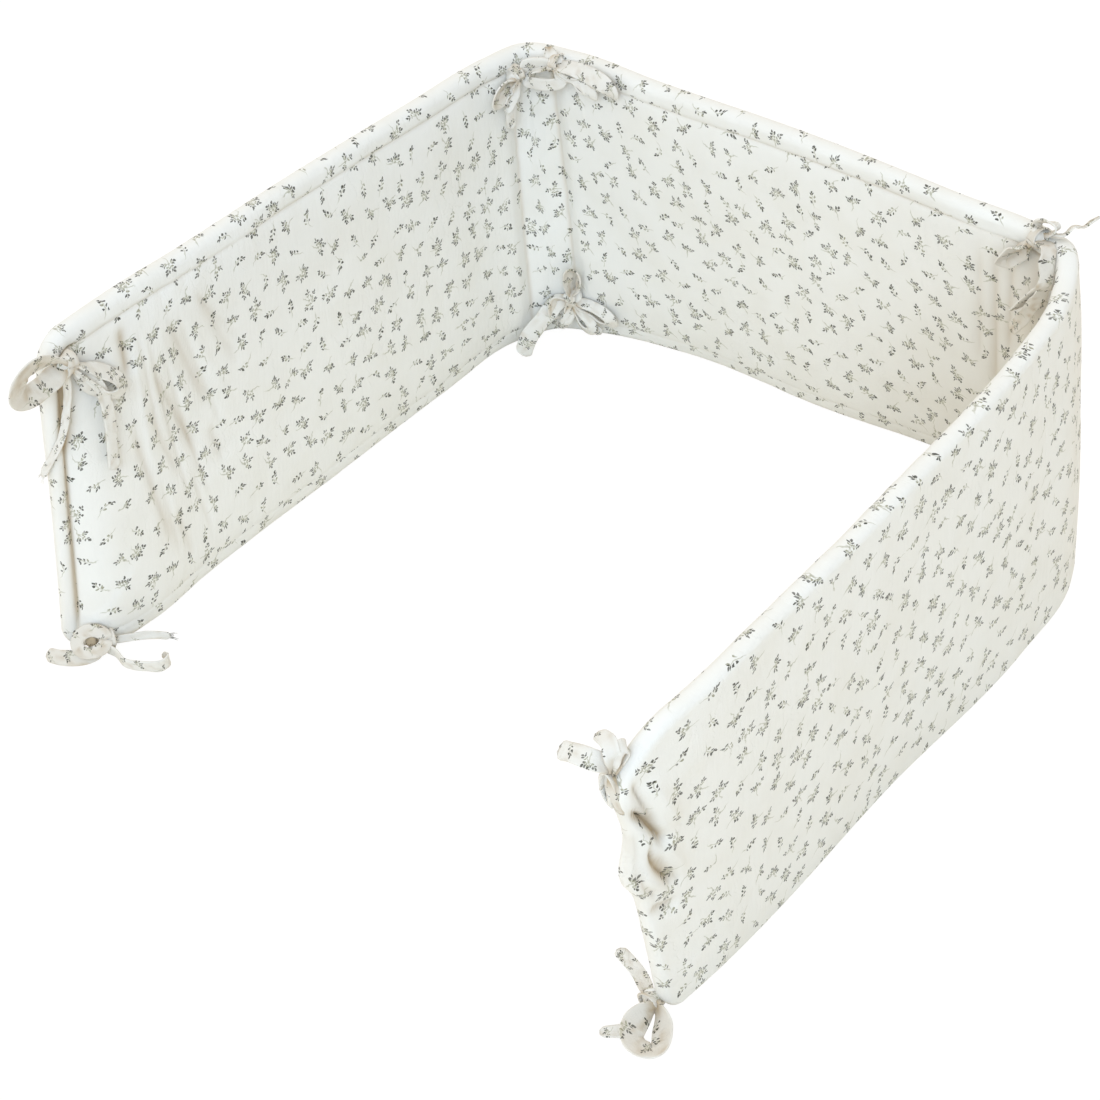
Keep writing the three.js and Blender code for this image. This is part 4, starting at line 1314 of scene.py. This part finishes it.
class Board:
    """Writes nodes into one node tree."""

    def __init__(self, tree: bpy.types.NodeTree) -> None:
        """Keeps the tree."""
        self.tree = tree

    @classmethod
    def of(cls, owner: bpy.types.Material | bpy.types.World) -> Board:
        """An empty board for a material or a world."""
        owner.use_nodes = True
        owner.node_tree.nodes.clear()
        return cls(owner.node_tree)

    def feed(self, socket: bpy.types.NodeSocket, value: object) -> None:
        """Links an output to a socket, or sets the socket's own value."""
        if isinstance(value, Wire):
            self.tree.links.new(value.socket, socket)
        else:
            socket.default_value = value

    def wires(self, kind: str, inputs: dict[str | int, object], **settings: object) -> tuple[Wire, ...]:
        """Every output of a new node.

        Args:
            kind: The node's type.
            inputs: What goes into its sockets, by name or number.
            settings: Its other settings.

        Returns:
            Its outputs in order.
        """
        made = self.tree.nodes.new("ShaderNode" + kind)
        for key, value in settings.items():
            setattr(made, key, value)
        for key, value in inputs.items():
            self.feed(made.inputs[key], value)
        return tuple(Wire(self, socket) for socket in made.outputs)

    def wire(self, kind: str, inputs: dict[str | int, object], **settings: object) -> Wire:
        """The first output of a new node."""
        return self.wires(kind, inputs, **settings)[0]

    def math(self, operation: str, *values: object) -> Wire:
        """The output of a Math node."""
        return self.wire("Math", dict(enumerate(values)), operation=operation)

    def vector(self, operation: str, *values: object) -> Wire:
        """The vector that a Vector Math node gives."""
        return self.wire("VectorMath", dict(enumerate(values)), operation=operation)

    def scaled(self, vector: Wire, factor: Wire | float) -> Wire:
        """A vector times a number."""
        return self.wire("VectorMath", {"Vector": vector, "Scale": factor}, operation="SCALE")

    def joined(self, x: object, y: object, z: object = 0.0) -> Wire:
        """A vector from its three parts."""
        return self.wire("CombineXYZ", {0: x, 1: y, 2: z})

    def parts(self, vector: Wire) -> tuple[Wire, ...]:
        """The three parts of a vector."""
        return self.wires("SeparateXYZ", {0: vector})

    def turned(self, vector: Wire, angle: Wire | float) -> Wire:
        """A vector turned about Z."""
        return self.wire("VectorRotate", {"Vector": vector, "Angle": angle}, rotation_type="Z_AXIS")

    def ramp(self, value: Wire, low: float, high: float) -> Wire:
        """An S curve from 0 at low to 1 at high."""
        ends = {"Value": value, "From Min": low, "From Max": high}
        return self.wire("MapRange", ends, interpolation_type="SMOOTHSTEP")

    def noise(self, place: Wire, scale: float = 1.0, detail: float = 2.0) -> tuple[Wire, ...]:
        """Soft noise on a plane: a value, and a colour of three."""
        return self.wires("TexNoise", {"Vector": place, "Scale": scale, "Detail": detail}, noise_dimensions="2D")

    def random(self, place: Wire) -> Wire:
        """Three random numbers for each whole place, as one vector."""
        return self.wires("TexWhiteNoise", {"Vector": place}, noise_dimensions="3D")[1]

    def mixed(self, factor: object, first: object, second: object) -> Wire:
        """Two colours mixed."""
        return self.wires("Mix", {"Factor": factor, 6: first, 7: second}, data_type="RGBA", blend_type="MIX")[2]

    def either(self, factor: object, first: Wire, second: Wire) -> Wire:
        """Two shaders mixed."""
        return self.wire("MixShader", {0: factor, 1: first, 2: second})

    def staged(self, lit: Wire, seen: Wire) -> Wire:
        """One shader that lights the bumper and another that the camera sees."""
        return self.either(self.wire("LightPath", {}), lit, seen)

    def group(self, group: bpy.types.NodeTree, **values: object) -> dict[str, Wire]:
        """Places a node group and returns its outputs by name."""
        return {wire.socket.name: wire for wire in self.wires("Group", values, node_tree=group)}


class EffectGroup:
    """A shader node group that takes a place on the cloth, in mm, and gives named numbers."""

    def __init__(self, name: str, outputs: tuple[str, ...]) -> None:
        """Opens the group."""
        self.tree = bpy.data.node_groups.new(name, "ShaderNodeTree")
        self.tree.interface.new_socket(name="Place", in_out="INPUT", socket_type="NodeSocketVector")
        for key in outputs:
            self.tree.interface.new_socket(name=key, in_out="OUTPUT", socket_type="NodeSocketFloat")
        self.board = Board(self.tree)
        self.exit = self.tree.nodes.new("NodeGroupOutput")
        self.place = Wire(self.board, self.tree.nodes.new("NodeGroupInput").outputs["Place"])

    def give(self, name: str, value: Wire) -> None:
        """Links a value to an output."""
        self.board.feed(self.exit.inputs[name], value)


@dataclass(frozen=True)
class SprigPrint:
    """Small leaf sprigs, scattered and turned every way, in mm."""

    name: str = "leaf_sprig_print"
    spacing: Pair = (24.4, 22.2)
    lie: float = 0.31
    looseness: float = 0.34
    scale: float = 1.15
    wobble: float = 2.6
    wobble_scale: float = 0.24
    bow: float = 0.08
    spray_above: float = 0.66
    least_ink: float = 0.82
    leaf_length: float = 1.42
    leaf_width: float = 0.8
    leaf_lean: float = 0.75
    branch_angle: float = 0.98
    branch_swing: float = 0.3
    missing_branches: float = 0.08
    missing_strays: float = 0.62
    branch_start: float = 2.6
    branch_reach: Pair = (4.8, 3.8)
    fan_stem: Pair = (-8.4, -4.6)
    leaf_pitch: float = 3.3
    missing_leaves: float = 0.12
    pale_leaves: float = 0.4
    first_leaf: Pair = (-3.6, -2.2)
    spray_stem: Pair = (-9.0, -5.0)

    def almond(self, x: Wire, y: Wire, size: float = 1.0) -> Wire:
        """Mask of a pointed leaf that lies along x."""
        u, v = x / (self.leaf_length * size), abs(y / (self.leaf_width * size))
        return x.board.ramp(1.0 - (u * u + v), -0.05, 0.14)

    def side_leaf(self, x: Wire, y: Wire, size: float) -> Wire:
        """Mask of a leaf that leans away from its stem."""
        c, s = math.cos(self.leaf_lean), math.sin(self.leaf_lean)
        return self.almond(x * c + y * s, y * c - x * s, size)

    def fan(self, board: Board, x: Wire, y: Wire, dice: Wire) -> tuple[Wire, Wire, Wire]:
        """A fan of short branches, each with three leaves at its tip and a pair of buds below.

        Args:
            board: Where the nodes go.
            x: Place along the sprig.
            y: Place across it.
            dice: The sprig's own random vector.

        Returns:
            Ink of the leaves, of the buds and of the stems.
        """
        x = x + self.branch_start
        radius = board.math("SQRT", x * x + y * y)
        angle = board.math("ARCTAN2", y, x)
        sector = board.math("ROUND", angle / self.branch_angle)
        seat = board.vector("ADD", board.scaled(dice, 31.0), board.joined(sector, 0.5, 2.5))
        long_share, present, swing = board.parts(board.random(seat))
        shortest, longer = self.branch_reach
        reach = shortest + long_share * longer
        away = abs(sector)
        stray = (away < 2.5) * (present > self.missing_strays)
        keep = board.math("MAXIMUM", (away < 1.5) * (present > self.missing_branches), stray)
        local = angle - sector * self.branch_angle + (swing - 0.5) * self.branch_swing
        bx = radius * board.math("COSINE", local)
        by = abs(radius * board.math("SINE", local))
        tip = self.almond(bx - reach, by)
        pair = self.side_leaf(bx - reach + 1.8, by - 1.2, 0.88)
        buds = self.side_leaf(bx - reach * 0.45, by - 0.9, 0.72)
        leaves = board.math("MAXIMUM", tip, pair) * keep * (0.8 + 0.2 * swing)
        heart = board.ramp(radius, 1.5, 0.5)
        buds = board.math("MAXIMUM", buds * keep, heart * 0.5)
        branch = board.ramp(by, 0.4, 0.1) * (bx < reach) * keep
        tail = board.ramp(abs(y - x * x * 0.06), 0.7, 0.15) * board.ramp(x, *self.fan_stem) * (x < 0.6)
        return leaves, buds, board.math("MAXIMUM", branch, tail)

    def spray(self, board: Board, x: Wire, y: Wire, dice: Wire) -> tuple[Wire, Wire, Wire]:
        """A longer spray with leaves up a bowed stem and three at its tip.

        Args:
            board: Where the nodes go.
            x: Place along the sprig.
            y: Place across it.
            dice: The sprig's own random vector.

        Returns:
            Ink of the leaves, of the buds and of the stem.
        """
        y = y + x * x * 0.04 - 0.8
        side = board.math("SIGN", y)
        moved = x + side * (self.leaf_pitch * 0.22)
        place = board.math("FLOOR", moved / self.leaf_pitch)
        seat = board.vector("ADD", board.scaled(dice, 23.0), board.joined(place, side, 0.5))
        present, size, dark = board.parts(board.random(seat))
        local = moved - (place + 0.5) * self.leaf_pitch
        away = abs(y) - (1.2 + size * 0.8)
        keep = (present > self.missing_leaves) * board.ramp(x, *self.first_leaf) * (x < 5.0)
        leaf = self.side_leaf(local, away, 0.95) * keep
        deep = dark > self.pale_leaves
        tip = self.almond(x - 6.3, y)
        pair = self.side_leaf(x - 4.7, abs(y) - 1.1, 0.85)
        stem = board.ramp(abs(y), 0.55, 0.14) * board.ramp(x, *self.spray_stem) * (x < 6.0)
        leaves = board.math("MAXIMUM", board.math("MAXIMUM", leaf * deep, tip), pair)
        return leaves, leaf * (1.0 - deep), stem

    def build(self) -> bpy.types.NodeTree:
        """The group that gives the ink of leaves, buds and stems."""
        outputs = ("Leaf", "Bud", "Stem")
        effect = EffectGroup(self.name, outputs)
        board, place = effect.board, effect.place
        x, y, _ = board.parts(board.turned(place, self.lie))
        wide, tall = self.spacing
        row = y / tall
        cell = board.joined(x / wide + row * 0.5, row)
        scatter = {"Vector": cell, "Scale": 1.0, "Randomness": self.looseness}
        _, dice, seat, *_ = board.wires("TexVoronoi", scatter, voronoi_dimensions="2D", feature="F1")
        gap_x, gap_y, _ = board.parts(board.vector("SUBTRACT", cell, seat))
        first, second, third = board.parts(dice)
        local = board.joined((gap_x - gap_y * 0.5) * wide, gap_y * tall)
        local = board.scaled(board.turned(local, first * (4 * math.pi)), 1.0 / self.scale)
        wobble = board.vector("SUBTRACT", board.noise(place, self.wobble_scale, 1.0)[1], (0.5, 0.5, 0.5))
        local = board.vector("ADD", local, board.scaled(wobble, self.wobble))
        lx, ly, _ = board.parts(local)
        ly = ly + lx * lx * (second - 0.5) * self.bow
        choice = third > self.spray_above
        other = 1.0 - choice
        wear = board.ramp(board.noise(place, 0.9)[0], 0.2, 0.6)
        ink = self.least_ink + (1 - self.least_ink) * wear
        for name, in_fan, in_spray in zip(outputs, self.fan(board, lx, ly, dice), self.spray(board, lx, ly, dice)):
            effect.give(name, (in_fan * other + in_spray * choice) * ink)
        return effect.tree


@dataclass(frozen=True)
class MuslinCrinkle:
    """The crinkle, slubs and weave of washed muslin, as a height in mm.

    Each pitch is how many bumps of the noise lie in one mm across and up the cloth.
    """

    name: str = "muslin_crinkle"
    crinkle: float = 0.5
    upright_pitch: Pair = (0.26, 0.055)
    level_pitch: Pair = (0.05, 0.2)
    slub: float = 0.16
    slub_pitch: Pair = (1.3, 0.22)
    crease: float = 0.32
    crease_pitch: Pair = (0.045, 0.011)
    crease_width: float = 0.022
    creased_pitch: Pair = (0.012, 0.012)
    creased: Pair = (0.45, 0.62)
    weave: float = 0.05
    thread: float = 0.55
    mottle_pitch: Pair = (0.02, 0.02)

    def build(self) -> bpy.types.NodeTree:
        """The group that gives a height and a mottle."""
        effect = EffectGroup(self.name, ("Height", "Mottle"))
        board = effect.board
        x, y, _ = board.parts(effect.place)

        def scaled(pitch: Pair) -> tuple[Wire, Wire]:
            """The place on the cloth at a pitch."""
            return x * pitch[0], y * pitch[1]

        def crumple(across: Wire, up: Wire, detail: float) -> Wire:
            """Soft noise at a place that is already scaled."""
            return board.noise(board.joined(across, up), detail=detail)[0]

        upright = crumple(*scaled(self.upright_pitch), 3.0)
        across, up = scaled(self.level_pitch)
        level = crumple(across + 40.0, up, 3.0)
        slubs = crumple(*scaled(self.slub_pitch), 2.0)
        turn = 2 * math.pi / self.thread
        weave = board.math("SINE", x * turn) * board.math("SINE", y * turn)
        across, up = scaled(self.crease_pitch)
        ridge = board.ramp(abs(crumple(across + level * 0.5, up, 1.5) - 0.5), self.crease_width, 0.0)
        across, up = scaled(self.creased_pitch)
        where = board.ramp(crumple(across, up + 9.0, 1.0), *self.creased)
        height = (upright + level * 0.8) * self.crinkle + slubs * self.slub + weave * self.weave
        effect.give("Height", height - ridge * where * self.crease)
        effect.give("Mottle", crumple(*scaled(self.mottle_pitch), 3.0))
        return effect.tree


@dataclass(frozen=True)
class PrintedMuslin:
    """Off-white cotton muslin with the sprig print, and warm brown shade painted into its creases, seams and shaded
    places.
    """

    ground: Triple = (0.835, 0.825, 0.78)
    shade: Triple = (0.815, 0.8, 0.745)
    # Warm brown of the painted shade, mixed in where the painted shade mark is high.
    painted_shade: Triple = (0.46, 0.35, 0.21)
    leaf: Triple = (0.024, 0.023, 0.009)
    bud: Triple = (0.23, 0.225, 0.12)
    stem: Triple = (0.4, 0.385, 0.27)
    mottled: Pair = (0.35, 0.75)
    painted_shade_share: Pair = (0.25, 0.65)
    leaf_ink: float = 0.94
    bud_ink: float = 0.8
    stem_ink: float = 0.6
    roughness: float = 0.86
    mottled_roughness: float = 0.1
    sheen: float = 0.12
    sheen_roughness: float = 0.5
    specular: float = 0.25
    bump: float = 0.55

    def build(self, sprigs: bpy.types.NodeTree, crinkle: bpy.types.NodeTree) -> bpy.types.Material:
        """The material, from the print's and the crinkle's groups."""
        muslin = bpy.data.materials.new(SLOT)
        board = Board.of(muslin)
        place = board.scaled(board.wire("UVMap", {}, uv_map=CLOTH_MAP), 1 / MM)
        ink = board.group(sprigs, Place=place)
        relief = board.group(crinkle, Place=place)
        # Painted shade: the mark mixes the cloth towards warm brown in creases, seams, on the straps' undersides and in
        # the dim corner, under the print.
        depth = board.wires("Attribute", {}, attribute_name=PAINTED_SHADE_MARK)[2]
        colour = board.mixed(board.ramp(relief["Mottle"], *self.mottled), (*self.ground, 1), (*self.shade, 1))
        shallow, deeper = self.painted_shade_share
        layers = (
            (depth * (shallow + depth * deeper), self.painted_shade),
            (ink["Stem"] * self.stem_ink, self.stem),
            (ink["Bud"] * self.bud_ink, self.bud),
            (ink["Leaf"] * self.leaf_ink, self.leaf),
        )
        for share, tint in layers:
            colour = board.mixed(share, colour, (*tint, 1))
        bump = {"Strength": self.bump, "Distance": MM, "Height": relief["Height"]}
        finish = {
            "Base Color": colour,
            "Roughness": self.roughness + relief["Mottle"] * self.mottled_roughness,
            "Sheen Weight": self.sheen,
            "Sheen Roughness": self.sheen_roughness,
            "Specular IOR Level": self.specular,
            "Normal": board.wire("Bump", bump),
        }
        board.wires("OutputMaterial", {"Surface": board.wire("BsdfPrincipled", finish)})
        return muslin


# ----------------------------------------------------------------------------------------------------
# Studio
# ----------------------------------------------------------------------------------------------------


@dataclass(frozen=True)
class Lamp:
    """A large soft square lamp: its place and size in metres, its power in watts and its colour."""

    name: str
    place: Triple
    size: float
    power: float
    colour: Triple

    def build(self, target: Triple) -> None:
        """Hangs the lamp so that it faces a target."""
        data = bpy.data.lights.new(self.name, "AREA")
        data.shape = "SQUARE"
        data.size = self.size
        data.energy = self.power
        data.color = self.colour
        back = unit(np.array(self.place) - np.array(target))
        side = unit(np.cross(UPWARD, back))
        stand(link(self.name, data), [side, np.cross(back, side), back], self.place)


@dataclass(frozen=True)
class Studio:
    """Camera, soft light and a plain pale floor, in metres and degrees."""

    position: Triple = (1.1408, -1.0866, 1.4266)
    pitch: float = 40.771
    roll: float = -7.994
    yaw: float = 47.718
    lens: float = 85.09
    sensor: float = 36.0
    farthest: float = 50.0
    floor_size: float = 14.0
    floor_drop: float = 0.0006
    floor_colour: Triple = (0.9, 0.835, 0.715)
    floor_glow: float = 1.06
    floor_glow_share: float = 0.9
    sky: Triple = (1.1, 1.06, 0.99)
    sky_top: Triple = (0.9, 0.87, 0.82)
    sky_dimmed: Triple = (0.02, 0.02, 0.02)
    dim_towards: Triple = (0.9, -0.43, 0.0)
    dim_share: Pair = (-0.1, 0.9)
    dim_height: Pair = (0.75, 0.1)
    top_height: Pair = (0.55, 0.95)
    target: Triple = (0.0, 0.0, 0.12)
    key: Lamp = Lamp("key_light", (3.0, -3.5, 3.4), 3.75, 212.0, (0.58, 0.745, 0.955))

    def camera(self) -> None:
        """Sets the camera."""
        pitch, roll, yaw = (math.radians(angle) for angle in (self.pitch, self.roll, self.yaw))
        ahead = np.array([0, math.cos(pitch), -math.sin(pitch)])
        above = np.array([0, math.sin(pitch), math.cos(pitch)])
        right = np.array([1.0, 0, 0])
        right, above = (
            right * math.cos(roll) + above * math.sin(roll),
            above * math.cos(roll) - right * math.sin(roll),
        )
        c, s = math.cos(yaw), math.sin(yaw)
        spin = np.array([[c, -s, 0], [s, c, 0], [0, 0, 1]])
        data = bpy.data.cameras.new("camera")
        data.lens = self.lens
        data.sensor_width = self.sensor
        data.sensor_fit = "HORIZONTAL"
        data.clip_end = self.farthest
        camera = link("camera", data)
        stand(camera, [spin @ right, spin @ above, spin @ -ahead], self.position)
        bpy.context.scene.camera = camera

    def floor(self) -> None:
        """Adds the floor, just under the bumper."""
        half = self.floor_size / 2
        mesh = bpy.data.meshes.new("floor")
        corners = ((-half, -half, 0), (half, -half, 0), (half, half, 0), (-half, half, 0))
        mesh.from_pydata(corners, [], [(0, 1, 2, 3)])
        paint = bpy.data.materials.new("pale_floor")
        board = Board.of(paint)
        matte = board.wire("BsdfDiffuse", {"Color": (*self.floor_colour, 1)})
        glow = board.wire("Emission", {"Strength": self.floor_glow})
        surface = board.staged(matte, board.either(self.floor_glow_share, matte, glow))
        board.wires("OutputMaterial", {"Surface": surface})
        mesh.materials.append(paint)
        floor = link("floor", mesh)
        floor.location.z = -self.floor_drop

    def sky_light(self) -> bpy.types.World:
        """A pale sky, dimmed low down on one side, that the camera sees as plain white."""
        world = bpy.data.worlds.new("studio")
        board = Board.of(world)
        heading = board.wire("TexCoord", {})
        height = board.parts(heading)[2]
        towards = board.wires("VectorMath", {0: heading, 1: self.dim_towards}, operation="DOT_PRODUCT")[1]
        dimming = board.ramp(towards, *self.dim_share) * board.ramp(height, *self.dim_height)
        above = board.mixed(board.ramp(height, *self.top_height), (*self.sky, 1), (*self.sky_top, 1))
        sky = board.wire("Background", {"Color": board.mixed(dimming, above, (*self.sky_dimmed, 1))})
        plain = board.wire("Background", {"Color": (1, 1, 1, 1)})
        board.wires("OutputWorld", {"Surface": board.staged(sky, plain)})
        return world

    def build(self) -> None:
        """Sets up the whole studio."""
        scene = bpy.context.scene
        scene.world = self.sky_light()
        scene.view_settings.view_transform = "Standard"
        self.camera()
        self.floor()
        self.key.build(self.target)


def main() -> None:
    """Builds the bumper and its studio."""
    logging.basicConfig(level=logging.INFO, format="%(name)s: %(message)s")
    shape = PadShape()
    muslin = PrintedMuslin().build(SprigPrint().build(), MuslinCrinkle().build())
    strip = PaddedStrip(shape)
    strip.dress(strip.build(), muslin)
    for tie in TIES:
        straps = TiedStraps(tie, shape)
        piece, flat = straps.build()
        straps.dress(piece, flat, muslin)
    Studio().build()


if __name__ == "__main__":
    main()
